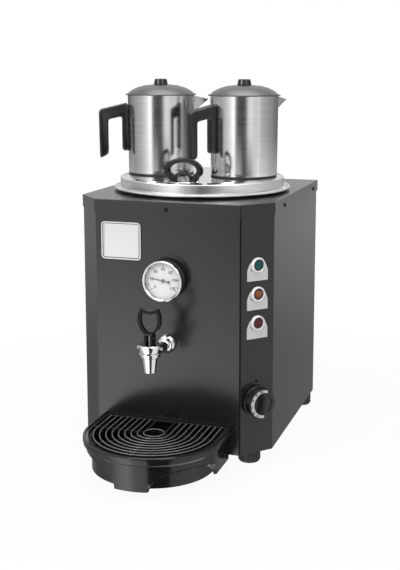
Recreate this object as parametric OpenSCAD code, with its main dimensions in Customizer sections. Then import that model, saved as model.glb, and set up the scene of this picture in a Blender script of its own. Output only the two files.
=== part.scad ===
// Hot water urn with two teapots: a tall chamfered sheet-steel casing round a cylindrical
// tank, a self-closing tap, a dial thermometer, three pilot lamps, a thermostat knob, a
// hooked-on drip tray, and a loose lid that carries two steamed teapots and a filling cap.
// Millimetres. +Z is up, the tank's axis is the Z axis, z = 0 is the table, -Y is the front.

/* [Casing] */
// Width of the casing over its sides
body_w = 323; // [300:1:360]
// Depth of the casing from front panel to back panel
body_d = 365; // [350:1:400]
// Height of the casing, feet not counted
body_h = 400; // [380:1:440]
// Width of the flat front panel between the two chamfers
front_w = 240; // [230:1:250]
// Depth of each chamfer
chamfer_d = 46; // [40:1:52]
// Thickness of the casing sheet
sheet_t = 1.2; // [0.8:0.1:2]
// Outer radius of the bends in the sheet
bend_r = 2.5; // [2:0.1:4]
// Height of the top cover's flange
cover_drop = 19.5; // [14:0.5:26]
// Height of each foot below the casing
foot_h = 21; // [16:1:26]
// Radius of each star-shaped foot
foot_r = 18; // [15:0.5:20]

/* [Tank] */
// Distance from the front panel back to the tank's axis
tank_setback = 180; // [176:1:184]
// Outer radius of the tank
tank_r = 138; // [134:0.5:140]
// Thickness of the tank wall
tank_t = 1; // [0.8:0.1:1.5]
// Height of the tank's bottom above the casing's bottom
tank_lift = 45; // [35:1:55]
// Reach of the drip ring beyond the tank's wall
ring_w = 12; // [9:0.5:16]
// Height of the drip ring's lip above the casing
ring_h = 6.5; // [6.4:0.1:10]
// Height of the fold at the top of the lid's band above the casing
band_h = 22.5; // [20:0.5:28]
// Rise of the lid's plate from the fold to its flat middle
crown = 1.4; // [0.6:0.1:2]
// Thickness of the lid sheet
lid_t = 1.1; // [0.8:0.1:1.5]
// Radius of each steam hole under a teapot
steam_r = 27; // [20:1:30]
// Radius of the filling hole
fill_r = 23; // [18:1:25]
// Filling hole, distance to the right of the centre line
fill_x = 3; // [-6:1:6]
// Filling hole, distance of its centre inside the tank's wall
fill_edge = 32; // [30:1:35]

/* [Teapots] */
// Distance of each teapot to the side of the centre line
pot_x = 74.6; // [73.5:0.1:76]
// Distance of the teapots behind the tank's axis
pot_y = 9; // [0:1:10]
// Distance that both teapots stand to the left of their places
pot_shift = 3.1; // [0:0.1:3.5]
// Radius of a teapot at its foot
pot_foot_r = 56.2; // [54:0.1:57]
// Radius of a teapot at its mouth
pot_mouth_r = 57.1; // [55:0.1:58]
// Height of a teapot's body
pot_h = 134.4; // [115:1:150]
// Thickness of a teapot's wall
pot_t = 0.9; // [0.6:0.1:1.4]
// Direction that the left teapot's handle points, seen from above
left_turn = 206; // [190:1:230]
// Direction that the right teapot's handle points, seen from above
right_turn = 225; // [215:1:235]
// Distance from a teapot's axis to the outside of its handle
grip_reach = 107; // [102:1:114]
// Thickness of the grip, measured outwards from the teapot
grip_t = 16; // [13:0.5:19]
// Width of the grip
grip_w = 18; // [14:0.5:22]
// Length of the spout beyond the teapot's wall
spout_len = 25; // [16:1:30]
// Height of the dome of a teapot's lid
dome_h = 18; // [12:0.5:22]

/* [Tap] */
// Height of the tap's shank above the casing's bottom
tap_z = 173.5; // [165:0.5:190]
// Distance of the tap's axis in front of the front panel
tap_reach = 76; // [66:1:86]
// Outer radius of the nozzle's tip
nozzle_r = 9; // [8:0.25:11]
// Radius of the tap's bonnet
bonnet_r = 18; // [16:0.5:21]
// Height of the tap's handle above its bonnet
handle_h = 57; // [45:1:65]

/* [Thermometer] */
// Height of the thermometer above the casing's bottom
gauge_z = 278; // [265:1:290]
// Radius of the thermometer's bezel
gauge_r = 32.5; // [30:0.5:36]
// Distance of the bezel's face in front of the front panel
gauge_depth = 24; // [18:0.5:30]

/* [Lamps and knob] */
// Height of the lowest pilot lamp above the casing's bottom
lamp_z = 213; // [205:1:225]
// Distance from one pilot lamp to the next
lamp_pitch = 46; // [42:1:50]
// Radius of a pilot lamp's ring
lamp_r = 11; // [9:0.25:13]
// Width of the plate under each lamp
label_w = 37; // [30:1:40]
// Height of the thermostat knob above the casing's bottom
knob_z = 86; // [75:1:100]
// Radius of the thermostat knob
knob_r = 25; // [20:0.5:27]
// Height of the thermostat knob's skirt
knob_h = 18; // [14:0.5:24]
// Turn of the knob's grip away from upright at its stop
knob_tilt = 9.5; // [0:0.5:20]

/* [Drip tray] */
// Radius of the tray's rim
tray_r = 110; // [104:1:116]
// Distance from the front panel to the centre of the tray's round front
tray_reach = 62; // [56:1:70]
// Height of the tray's rim above the casing's bottom
tray_top = 48; // [44:1:60]
// Height of the tray from its feet to its rim
tray_h = 55; // [50:1:62]
// Distance from one rib of the grille to the next
rib_pitch = 9.7; // [8:0.1:12]
// Width of one rib of the grille
rib_w = 2.2; // [1.6:0.1:3]
// Radius of the ring in the middle of the grille
hub_r = 16; // [12:0.5:20]

/* [Hidden] */
$fn = 72;

// clearances
seat = 0.05;          // between faces that are clamped together
run_gap = 0.06;       // radial, round a shaft that turns or slides
free_gap = 0.3;       // between pieces that move apart
// main planes and heights
front_y = -tank_setback;
back_y = front_y + body_d;
side_x = body_w / 2;
base_z = foot_h;
top_z = base_z + body_h;
chamfer_w = (body_w - front_w) / 2;
strip_turn = atan2(chamfer_d, chamfer_w);
strip_x = (front_w / 2 + side_x) / 2;
strip_y = front_y + chamfer_d / 2;
panel_in_y = front_y + sheet_t;
shell_top_z = top_z - sheet_t;
shell_h = shell_top_z - base_z;
shell_back_y = back_y - sheet_t - seat;
// the casing's outline from the rear left corner round the front, seen from above
seam_gap = 0.8;
return_w = 14;
left_path = [[-side_x + return_w, shell_back_y], [-side_x, shell_back_y],
    [-side_x, front_y + chamfer_d], [-front_w / 2, front_y], [front_w / 2 - seam_gap, front_y]];
lap_y = panel_in_y + seat;
lap_x = front_w / 2 + (lap_y - front_y) / tan(strip_turn);
right_path = [[front_w / 2 - return_w, lap_y], [lap_x, lap_y],
    [side_x, front_y + chamfer_d], [side_x, shell_back_y], [side_x - return_w, shell_back_y]];
outline = [[-side_x, back_y], [-side_x, front_y + chamfer_d], [-front_w / 2, front_y],
    [front_w / 2, front_y], [side_x, front_y + chamfer_d], [side_x, back_y]];
// screws
screw_r = 1.9;
screw_head_r = 3.6;
screw_head_h = 1.6;
plate_w = 67;
plate_h = 60;
cover_screw_z = top_z - 12;
back_screw_inset = 7;
// base plate
flange_h = 12;
vent_len = 120;
// feet
foot_spots = [[-125, -138], [125, -138], [-143, 162], [143, 162]];
stud_r = 4;
stud_len = 16;
boss_r = 9;
boss_h = 8;
// tank
tank_z = base_z + tank_lift;
fold_z = top_z + band_h;
plate_z = fold_z + crown;
neck_z = fold_z - lid_t - seat;
gutter_z = top_z + seat + 1;
tank_in_r = tank_r - tank_t;
ring_r = tank_r + ring_w;
fill_y = tank_r - fill_edge;
stand_r = tank_r - 26;
stand_t = 1.5;
stand_window = 60;
stand_edge = 8;
boss_out = 3;
tank_hole_r = tank_r + free_gap;
probe_boss_r = 12;
probe_boss_w = 6;
// heater at the back of the tank
heater_z = tank_z + 32;
heater_r = 30;
heater_hole_r = 22;
rod_r = 4;
rod_gap = 24;
rod_len = 170;
// tap
tap_y = front_y - tap_reach;
shank_z = base_z + tap_z;
shank_r = 7;
shank_bore_r = 4.5;
nozzle_z = shank_z - 25.5;
bonnet_z = shank_z + 8.2;
bonnet_top_z = shank_z + 18.9;
handle_foot = 6.2;
pin_z = bonnet_top_z + 10;
pin_r = 1.75;
stem_r = 3;
valve_seat_z = shank_z - 9;
cup_r = 7;
cup_h = 5;
// thermometer
dial_z = base_z + gauge_z;
case_r = gauge_r - 2.2;
pocket_r = 7;
probe_r = 4;
dial_y = front_y - gauge_depth + 6;
pocket_len = 38;
rest_reading = 20;
// lamps, labels and knob on the right-hand chamfer
lens_r = lamp_r - 2.8;
lamp_hole_r = 8;
label_t = 2;
lamp_seat = label_t + seat;
knob_axis_z = base_z + knob_z;
knob_shaft_r = 3;
thermostat_d = 30;
knob_gap = 2;
// drip tray
tray_y = front_y - tray_reach;
rim_z = base_z + tray_top;
tray_bottom_z = rim_z - tray_h;
tray_back_y = front_y - free_gap;
tray_wall = 2.5;
recess = 6;
wall_low_r = tray_r - 7.5;
wall_high_r = tray_r - 5.5;
lip_z = rim_z - 14;
floor_z = tray_bottom_z + 4;
cavity_low_r = wall_low_r - recess - tray_wall;
cavity_high_r = wall_high_r - recess - tray_wall;
grille_r = tray_r - 4.6;
grille_t = 3;
rib_h = 5;
grille_top_z = rim_z - 1.5;
ledge_z = grille_top_z - grille_t;
slot_r = tray_r - 8.5;
hook_x = 60;
hook_z = rim_z - 20;
hook_r = 2;
hook_head_r = 4;
tray_lift = 12;
// teapots and lid
pot_z = plate_z;
pot_top_z = pot_z + pot_h;
lid_rim_z = pot_top_z + 0.4;
lid_rim_r = pot_mouth_r + 3.6;
pot_knob_z = lid_rim_z + dome_h;

// ---- helpers ---------------------------------------------------------------------------
function unit(v) = v / norm(v);
function left_of(v) = [-v[1], v[0]];
function reversed(p) = [for (i = [len(p) - 1:-1:0]) p[i]];
// signed smallest turn from one angle to another
function turn_to(a, b) = let (d = b - a) d > 180 ? d - 360 : d < -180 ? d + 360 : d;
// path p moved to its left by d, with mitred corners
function moved(p, d) = [for (i = [0:len(p) - 1])
    let (before = unit(p[max(i, 1)] - p[max(i, 1) - 1]),
        after = unit(p[min(i, len(p) - 2) + 1] - p[min(i, len(p) - 2)]),
        m = unit(left_of(before) + left_of(after)))
    p[i] + m * d / (m * left_of(before))];
// closed outline p moved inwards by d
function inset(p, d) = let (q = moved(concat([p[len(p) - 1]], p, [p[0]]), d))
    [for (i = [1:len(p)]) q[i]];
// corner b between a and c, rounded with radius r in n steps
function round_corner(a, b, c, r, n) =
    let (u = unit(a - b), w = unit(c - b), half = acos(u * w) / 2,
        centre = b + unit(u + w) * r / sin(half),
        start = b + u * r / tan(half), end = b + w * r / tan(half),
        a0 = atan2(start[1] - centre[1], start[0] - centre[0]),
        a1 = atan2(end[1] - centre[1], end[0] - centre[0]))
    [for (i = [0:n]) centre + r * [cos(a0 + turn_to(a0, a1) * i / n), sin(a0 + turn_to(a0, a1) * i / n)]];
// open path with every inner corner rounded
function bent(p, r, n = 5) = concat([p[0]],
    [for (i = [1:len(p) - 2]) each round_corner(p[i - 1], p[i], p[i + 1], r, n)], [p[len(p) - 1]]);
// folded sheet whose outer face follows path p, thickened to the left
module folded(p, t, h) {
    linear_extrude(h) polygon(concat(bent(p, bend_r), reversed(bent(moved(p, t), bend_r - t))));
}
// places a piece on the front panel: local +Z points out of the panel, +Y up
module on_front(x, z) { translate([x, front_y, z]) rotate([90, 0, 0]) children(); }
// places a piece on the right-hand chamfer: local +Z points out of it, +Y up
module on_strip(z) { translate([strip_x, strip_y, z]) rotate([90, 0, strip_turn]) children(); }
module tube(r_out, r_in, h) {
    difference() {
        cylinder(r = r_out, h = h);
        translate([0, 0, -1]) cylinder(r = r_in, h = h + 2);
    }
}
// closed skin over a row of rings, each ring a list of 3D points
module skin(rings) {
    n = len(rings[0]);
    m = len(rings);
    polyhedron(points = [for (r = rings) each r], faces = concat(
        [[for (i = [0:n - 1]) i]],
        [for (j = [0:m - 2]) for (i = [0:n - 1])
            let (k = (i + 1) % n)
            each [[j * n + i, (j + 1) * n + i, (j + 1) * n + k], [j * n + i, (j + 1) * n + k, j * n + k]]],
        [[for (i = [n - 1:-1:0]) (m - 1) * n + i]]), convexity = 6);
}
// rounded section of half thickness a and half width b, square = 1 for an ellipse
function rounded(a, b, n = 16, square = 0.55) = [for (i = [0:n - 1])
    let (t = 360 * (i + 0.5) / n, c = cos(t), s = sin(t))
    [a * sign(c) * pow(abs(c), square), b * sign(s) * pow(abs(s), square)]];
// bar between two lines in the XZ plane, with a half width at each of their points
module bar_between(back, front, wide) {
    skin([for (i = [0:len(back) - 1])
        let (middle = (back[i] + front[i]) / 2, half = (front[i] - back[i]) / 2)
        [for (q = rounded(1, wide[i], 20, 0.35)) [middle[0] + half[0] * q[0], q[1], middle[1] + half[1] * q[0]]]]);
}
// ---- casing ----------------------------------------------------------------------------
module foot_holes() {
    for (s = foot_spots) translate([s[0], s[1], base_z - 1]) cylinder(r = stud_r + run_gap, h = 30);
}

module base_plate() color("dimgray") difference() {
    union() {
        rear = shell_back_y - sheet_t - seat;
        inside = [for (p = inset(outline, sheet_t + seat)) [p[0], min(p[1], rear)]];
        // starts and ends in the middle of the back, so that all six corners are rounded
        plan = concat([[0, rear]], inside, [[0, rear]]);
        translate([0, 0, base_z]) linear_extrude(sheet_t) polygon(bent(plan, bend_r - sheet_t));
        // flange that the shells are fixed to
        translate([0, 0, base_z]) linear_extrude(flange_h) difference() {
            polygon(bent(plan, bend_r - sheet_t));
            polygon(inset(inside, sheet_t));
        }
        for (s = foot_spots) translate([s[0], s[1], base_z]) cylinder(r = boss_r, h = boss_h);
    }
    foot_holes();
    // room for the lap of the control shell behind the front panel
    translate([front_w / 2 - return_w - 1, front_y, base_z - 1])
        cube([return_w + 3, sheet_t * 2 + seat * 2, 20]);
    // air slots
    for (i = [-3:3]) translate([i * 14 - 2, -vent_len / 2, base_z - 1]) cube([4, vent_len, sheet_t + 2]);
}

module front_shell() color([0.16, 0.16, 0.17]) difference() {
    translate([0, 0, base_z]) folded(left_path, sheet_t, shell_h);
    on_front(0, shank_z) translate([0, 0, -5]) cylinder(r = shank_r + seat, h = 10);
    on_front(0, dial_z) translate([0, 0, -5]) cylinder(r = pocket_r + seat, h = 10);
    for (x = [-hook_x, hook_x]) on_front(x, hook_z) translate([0, 0, -5]) cylinder(r = hook_r + seat, h = 10);
    shell_screw_holes();
}

module shell_screw_holes() {
    cover_screw_places() cylinder(r = screw_r, h = 12, center = true);
    for (s = back_screw_spots) translate([s[0], back_y + 1, s[1]]) rotate([90, 0, 0]) cylinder(r = screw_r, h = 8);
}

module control_shell() color([0.18, 0.18, 0.19]) difference() {
    translate([0, 0, base_z]) folded(right_path, sheet_t, shell_h);
    for (i = [0:2]) on_strip(base_z + lamp_z + i * lamp_pitch) translate([0, 0, -5])
        cylinder(r = lamp_hole_r, h = 10);
    on_strip(knob_axis_z) translate([0, 0, -5]) cylinder(r = knob_shaft_r + 2, h = 10);
    shell_screw_holes();
}

// back panel screws: three down each side
back_screw_spots = [for (s = [-1, 1]) for (z = [base_z + 30, (base_z + top_z) / 2, top_z - 40])
    [s * (side_x - back_screw_inset), z]];

module back_panel() color([0.16, 0.16, 0.17]) difference() {
    translate([-side_x + bend_r, back_y - sheet_t, base_z]) cube([body_w - 2 * bend_r, sheet_t, shell_h - 0.5]);
    shell_screw_holes();
    // two groups of air slots
    for (zc = [base_z + 70, top_z - 90]) for (i = [-3:3])
        translate([-45, back_y - 3, zc + i * 9]) cube([90, 6, 3.5]);
    translate([-gland_x, back_y + 1, base_z + gland_h]) rotate([90, 0, 0]) cylinder(r = gland_r, h = 4);
}
gland_x = 110;
gland_h = 40;
gland_r = 8;

// corners of the cover's flange are left open
cover_out = 0.1 + sheet_t;
cover_plan = inset(outline, -cover_out);

module top_cover() color([0.17, 0.17, 0.18]) difference() {
    skin([[for (p = cover_plan) [p[0], p[1], top_z - cover_drop]],
        [for (p = cover_plan) [p[0], p[1], top_z - 0.8]],
        [for (p = inset(cover_plan, 0.8)) [p[0], p[1], top_z]]]);
    translate([0, 0, top_z - cover_drop - 1]) linear_extrude(cover_drop - sheet_t + 1)
        polygon(inset(outline, sheet_t - cover_out));
    translate([0, 0, top_z - 5]) cylinder(r = tank_hole_r, h = 10);
    for (p = cover_plan) translate([p[0], p[1], top_z - cover_drop / 2 - sheet_t - 0.6])
        rotate([0, 0, atan2(p[1], p[0])])
            cube([9, 0.9, cover_drop], center = true);
    cover_screw_places() cylinder(r = screw_r, h = 12, center = true);
}

// two screws in each side of the cover, one in front, two behind; local +Z points outwards
module cover_screw_places() {
    translate([0, front_y, cover_screw_z]) rotate([90, 0, 0]) children();
    for (s = [-1, 1]) {
        for (y = [front_y + 110, front_y + 328]) translate([s * side_x, y, cover_screw_z])
            rotate([90, 0, s * 90]) children();
        translate([s * 90, back_y, cover_screw_z]) rotate([-90, 0, 0]) children();
    }
}

module pan_screw(len) {
    translate([0, 0, -len]) cylinder(r = screw_r - seat, h = len + 0.1);
    difference() {
        cylinder(r1 = screw_head_r, r2 = screw_head_r - 0.8, h = screw_head_h);
        for (a = [0, 90]) rotate([0, 0, a]) translate([-2.2, -0.35, screw_head_h - 0.7]) cube([4.4, 0.7, 1]);
    }
}

module cover_screws() color([0.1, 0.1, 0.1]) cover_screw_places()
    translate([0, 0, cover_out + seat]) pan_screw(5);

module back_screws() color([0.1, 0.1, 0.1]) for (s = back_screw_spots)
    translate([s[0], back_y + seat, s[1]]) rotate([-90, 0, 0]) pan_screw(5);

module plate(grow, t) {
    linear_extrude(t) offset(r = 6 + grow) square([plate_w - 12, plate_h - 12], center = true);
}

module name_plate() color([0.82, 0.82, 0.84]) on_front(-76, base_z + 335) {
    translate([0, 0, seat]) {
        plate(0, 1.4);
        difference() {
            plate(0, 2.2);
            translate([0, 0, 1]) plate(-2, 3);
        }
        difference() {
            plate(-4, 1.9);
            translate([0, 0, 1]) plate(-5.2, 3);
        }
    }
}

module cable_gland() color([0.08, 0.08, 0.08]) translate([-gland_x, back_y, base_z + gland_h])
    rotate([-90, 0, 0]) difference() {
        union() {
            translate([0, 0, -12]) cylinder(r = gland_r - seat, h = 14);
            translate([0, 0, seat]) cylinder(r = gland_r + 4, h = 4, $fn = 6);
            translate([0, 0, 3]) cylinder(r1 = gland_r + 2, r2 = gland_r - 1, h = 9);
            translate([0, 0, -sheet_t - seat - 5]) cylinder(r = gland_r + 4, h = 5, $fn = 6);
        }
        translate([0, 0, -13]) cylinder(r = 4, h = 30);
    }

module foot(s) color([0.07, 0.07, 0.07]) translate([s[0], s[1], 0]) {
    difference() {
        union() {
            cylinder(r1 = foot_r - 2, r2 = foot_r, h = 3);
            translate([0, 0, 3]) cylinder(r = foot_r, h = foot_h - 6 - free_gap);
            translate([0, 0, foot_h - 3 - free_gap]) cylinder(r1 = foot_r, r2 = foot_r - 5, h = 3);
        }
        for (i = [0:9]) rotate([0, 0, 36 * i]) translate([foot_r + 2.2, 0, -1]) cylinder(r = 4, h = 30);
    }
    translate([0, 0, foot_h - 1 - free_gap]) cylinder(r = stud_r, h = stud_len);
}
module foot_front_left() { foot(foot_spots[0]); }
module foot_front_right() { foot(foot_spots[1]); }
module foot_rear_left() { foot(foot_spots[2]); }
module foot_rear_right() { foot(foot_spots[3]); }

// ---- tank and heating ------------------------------------------------------------------
module tank() color([0.75, 0.75, 0.76]) difference() {
    union() {
        rotate_extrude() polygon([[0, tank_z], [tank_r - 8, tank_z], [tank_r - 2.3, tank_z + 2.3],
            [tank_r, tank_z + 8], [tank_r, neck_z], [tank_in_r, neck_z], [tank_in_r, tank_z + 8.4],
            [tank_in_r - 2.3, tank_z + 3.1], [tank_r - 8.4, tank_z + tank_t], [0, tank_z + tank_t]]);
        // bosses for the tap, the thermometer pocket and the heater
        intersection() {
            union() {
                translate([0, 0, shank_z]) rotate([90, 0, 0]) cylinder(r = shank_r + 5, h = tank_r + boss_out);
                translate([0, 0, dial_z]) rotate([90, 0, 0]) cylinder(r = probe_boss_r, h = tank_r + boss_out);
                translate([0, 0, heater_z]) rotate([-90, 0, 0]) cylinder(r = heater_r, h = tank_r + boss_out);
            }
            difference() {
                cylinder(r = tank_r + 10, h = top_z);
                cylinder(r = tank_in_r, h = top_z);
            }
        }
    }
    translate([0, 30 - tank_r, shank_z]) rotate([90, 0, 0]) cylinder(r = shank_r + seat, h = 40);
    translate([0, 30 - tank_r, dial_z]) rotate([90, 0, 0]) cylinder(r = pocket_r + seat, h = 40);
    translate([0, tank_r - 30, heater_z]) rotate([-90, 0, 0]) cylinder(r = heater_hole_r, h = 40);
    // gland hole for the thermostat's bulb
    bulb_place() cylinder(r = 5 + seat, h = 30, center = true);
}

// the bulb enters the tank's wall on the side that faces the knob
bulb_turn = -38;
bulb_len = 70;
bulb_z = knob_axis_z - 8;
module bulb_place() { rotate([0, 0, bulb_turn]) translate([tank_r, 0, bulb_z]) rotate([0, 90, 0]) children(); }

module tank_ring() color([0.82, 0.82, 0.83]) rotate_extrude() {
    t = 1;
    rest = gutter_z - t;
    lip = top_z + ring_h;
    polygon([[tank_r + seat, rest], [tank_r + 6, rest], [ring_r - 3, rest + 2.2], [ring_r, rest + 4],
        [ring_r, lip - 0.8], [ring_r - 0.5, lip], [ring_r - 1.6, lip], [ring_r - 2, lip - 0.8],
        [ring_r - t - 0.4, rest + 5], [ring_r - 4, rest + 3.2], [tank_r + 6, rest + t],
        [tank_r + seat, rest + t]]);
}

module tank_stand() color([0.6, 0.6, 0.62]) translate([0, 0, base_z + sheet_t + seat]) difference() {
    h = tank_lift - sheet_t - 2 * seat;
    tube(stand_r, stand_r - stand_t, h);
    // windows between four legs
    for (a = [0:90:270]) rotate([0, 0, a + 45]) translate([stand_r - 15, -stand_window / 2, stand_edge])
        cube([30, stand_window, h - 2 * stand_edge]);
}

module heater_flange() color([0.72, 0.6, 0.3]) translate([0, tank_r + boss_out + seat, heater_z])
    rotate([-90, 0, 0]) {
        difference() {
            cylinder(r = heater_r, h = 7);
            for (x = [-1, 1]) translate([x * rod_gap / 2, 0, -1]) cylinder(r = rod_r + seat, h = 10);
        }
        for (i = [0:3]) rotate([0, 0, 45 + 90 * i]) translate([heater_r - 6, 0, 7]) cylinder(r = 4.5, h = 3.5, $fn = 6);
        translate([0, 9, 7]) cylinder(r = 6, h = 14);
    }

module heater_element() color([0.45, 0.45, 0.47]) translate([0, 0, heater_z]) {
    out = tank_r + boss_out + 14;
    for (x = [-1, 1]) translate([x * rod_gap / 2, out, 0]) rotate([90, 0, 0]) cylinder(r = rod_r, h = out + rod_len - tank_r);
    translate([0, tank_r - rod_len, 0]) rotate([0, 0, 180]) rotate_extrude(angle = 180)
        translate([rod_gap / 2, 0]) circle(r = rod_r);
}

// on the side of the tank that faces the casing's rear corner, where there is room for it
module safety_cutout() color([0.12, 0.12, 0.12]) rotate([0, 0, atan2(back_y, side_x)])
    translate([tank_r + seat, 0, (heater_z + neck_z) / 2]) rotate([0, 90, 0]) {
        cylinder(r = 11, h = 9);
        translate([0, 0, 9]) cylinder(r = 3, h = 4);
        for (s = [-1, 1]) translate([-3, s * 6 - 0.4, 9]) cube([6, 0.8, 7]);
    }

// ---- pilot lamps -----------------------------------------------------------------------
module lamp_bodies() color([0.1, 0.1, 0.1]) for (i = [0:2]) on_strip(base_z + lamp_z + i * lamp_pitch) {
    translate([0, 0, -22]) difference() {
        cylinder(r = lamp_hole_r - seat, h = 22 + label_t + 3.2);
        translate([0, 0, 22 + label_t]) cylinder(r = lens_r - 2, h = 10);
    }
    for (s = [-1, 1]) translate([s * 4 - 0.4, -3, -30]) cube([0.8, 6, 9]);
}

module lamp_nuts() color([0.85, 0.85, 0.85]) for (i = [0:2])
    on_strip(base_z + lamp_z + i * lamp_pitch) translate([0, 0, -sheet_t - seat - 5])
        difference() {
            cylinder(r = 12, h = 5, $fn = 6);
            translate([0, 0, -1]) cylinder(r = lamp_hole_r, h = 8);
        }

module lamp_rings() color([0.93, 0.93, 0.92]) for (i = [0:2])
    on_strip(base_z + lamp_z + i * lamp_pitch) translate([0, 0, lamp_seat]) rotate_extrude() polygon([
        [lamp_hole_r + seat, 0], [lamp_r - 0.6, 0], [lamp_r, 0.6], [lamp_r, 4.4], [lamp_r - 0.8, 5.6],
        [lens_r + 0.8, 6], [lens_r + seat, 5.2], [lens_r + seat, 3.2], [lamp_hole_r + seat, 3.2]]);

module lens(i) on_strip(base_z + lamp_z + i * lamp_pitch) translate([0, 0, lamp_seat + 3.3])
    rotate_extrude() polygon(concat([[0, 0], [lens_r, 0], [lens_r, 1.4]],
        [for (a = [15:15:90]) [lens_r * cos(a), 1.4 + 3.2 * sin(a)]]));
module lens_red() { color([0.45, 0.08, 0.08]) lens(0); }
module lens_amber() { color([0.6, 0.3, 0.08]) lens(1); }
module lens_green() { color([0.05, 0.4, 0.36]) lens(2); }

// plate that names the lamp: sloping shoulders under the ring, one slot on either side
module lamp_labels() color([0.92, 0.92, 0.93]) for (i = [0:2])
    on_strip(base_z + lamp_z + i * lamp_pitch) translate([0, 0, seat]) difference() {
        w = label_w / 2;
        low = -lamp_r - 14;
        linear_extrude(label_t) polygon(concat([[-w, low], [w, low], [w, -lamp_r + 2], [w - 5, 3]],
            [for (a = [20:20:160]) [(lamp_r + 0.5) * cos(a), (lamp_r + 0.5) * sin(a)]],
            [[-w + 5, 3], [-w, -lamp_r + 2]]));
        translate([0, 0, -1]) cylinder(r = lamp_hole_r + seat, h = 10);
        for (s = [-1, 1]) rotate([0, 0, s * 58 - 90]) translate([lamp_r + 2.2, -3, -1]) cube([1.4, 6, 10]);
    }

// ---- thermostat ------------------------------------------------------------------------
module thermostat_body() color([0.75, 0.75, 0.72]) on_strip(knob_axis_z) difference() {
    union() {
        translate([-19, -17, -sheet_t - thermostat_d]) cube([38, 34, thermostat_d - seat]);
        translate([0, 0, -sheet_t - seat - 1]) cylinder(r = 4.8, h = sheet_t + 1.5);
        for (s = [-1, 1]) translate([s * 12 - 0.4, -8, -sheet_t - thermostat_d - 7]) cube([0.8, 6, 8]);
    }
    translate([0, 0, -sheet_t - 14]) cylinder(r = knob_shaft_r + run_gap, h = 30);
}

// bulb in the tank, its gland and the coiled capillary that joins it to the thermostat
module thermostat_bulb() color([0.72, 0.42, 0.25]) {
    bulb_place() {
        translate([0, 0, -bulb_len]) cylinder(r = 3, h = bulb_len + 6);
        translate([0, 0, -6]) cylinder(r = 5, h = 8);
        translate([0, 0, 2 * seat]) cylinder(r = 8, h = 6, $fn = 6);
        translate([0, 0, 5]) cylinder(r = 1.2, h = 8);
    }
    // the tube is bent, so its end stands clear of the thermostat by a little more than its radius
    behind = sheet_t + thermostat_d + 1.2 + seat;
    out = tank_r + 12.4;
    rod([out * cos(bulb_turn), out * sin(bulb_turn), bulb_z],
        [strip_x - behind * sin(strip_turn), strip_y + behind * cos(strip_turn), bulb_z], 1.2);
}
// straight rod from a to b
module rod(a, b, r) {
    d = b - a;
    translate(a) rotate([0, acos(d[2] / norm(d)), atan2(d[1], d[0])]) cylinder(r = r, h = norm(d));
}

module knob() color([0.07, 0.07, 0.07]) on_strip(knob_axis_z) rotate([0, 0, -knob_tilt]) difference() {
    union() {
        translate([0, 0, knob_gap]) rotate_extrude() polygon([[0, 0], [knob_r, 0], [knob_r, 2.2],
            [knob_r - 0.9, 3], [knob_r - 1.6, knob_h - 1], [knob_r - 2.6, knob_h],
            [knob_r - 8.4, knob_h], [knob_r - 9, knob_h - 1.2], [0, knob_h - 1.2]]);
        // raised grip, narrower towards its crest
        hull() {
            translate([-5.5, -knob_r + 8.5, knob_h]) cube([11, 2 * knob_r - 17, 1]);
            translate([-2.2, -knob_r + 10, knob_gap + knob_h + 9]) cube([4.4, 2 * knob_r - 20, 1]);
        }
        // hub that grips the shaft, and the shaft with its flat
        translate([0, 0, -sheet_t - 12]) cylinder(r = knob_shaft_r, h = 20);
    }
    // finger grooves round the skirt
    for (a = [0:20:340]) rotate([0, 0, a]) translate([knob_r + 1.2, 0, knob_gap + 4.4])
        cylinder(r = 2.2, h = knob_h - 8);
}

// crescent with the scale, let into the rim of the knob's face
module knob_scale() color([0.82, 0.82, 0.83]) on_strip(knob_axis_z) rotate([0, 0, -knob_tilt])
    translate([0, 0, knob_gap + knob_h + seat]) linear_extrude(0.5) intersection() {
        difference() {
            circle(r = knob_r - 2.7);
            translate([1.4, 0]) circle(r = knob_r - 7);
        }
        translate([-2 * knob_r + 5, -knob_r]) square([2 * knob_r, 2 * knob_r]);
    }

// ---- thermometer -----------------------------------------------------------------------
module gauge_case() color([0.14, 0.14, 0.15]) on_front(0, dial_z) difference() {
    union() {
        rotate_extrude() polygon([[0, seat], [case_r - 3, seat], [case_r, 2], [case_r, gauge_depth - 2.65],
            [case_r - 1.2, gauge_depth - 2.65], [case_r - 1.2, 3], [0, 3]]);
        // threaded neck and the sensing stem in its pocket
        translate([0, 0, -tank_setback + tank_r - pocket_len + 4]) cylinder(r = probe_r, h = tank_setback - tank_r + pocket_len);
        translate([0, 0, 2]) cylinder(r = 3, h = gauge_depth - 10.45);
    }
    translate([0, 0, 4]) cylinder(r = 0.8 + run_gap, h = 30);
}

module gauge_bezel() color([0.85, 0.85, 0.86]) on_front(0, dial_z) rotate_extrude() polygon([
    [case_r + seat, gauge_depth - 9], [gauge_r - 0.6, gauge_depth - 9], [gauge_r, gauge_depth - 8],
    [gauge_r, gauge_depth - 1.2], [gauge_r - 1, gauge_depth], [gauge_r - 2.6, gauge_depth],
    [gauge_r - 4, gauge_depth - 1.4], [gauge_r - 4, gauge_depth - 2.6], [case_r + seat, gauge_depth - 2.6]]);

module gauge_glass() color([0.8, 0.9, 0.92, 0.3]) on_front(0, dial_z)
    translate([0, 0, gauge_depth - 2.6 - 1.2]) cylinder(r = case_r - 1.2 - seat, h = 1.2 - seat);

module gauge_dial() color([0.95, 0.95, 0.94]) on_front(0, dial_z) translate([0, 0, gauge_depth - 8.4])
    difference() {
        cylinder(r = case_r - 1.25, h = 0.6);
        translate([0, 0, -1]) cylinder(r = 1.1, h = 3);
    }

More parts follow.
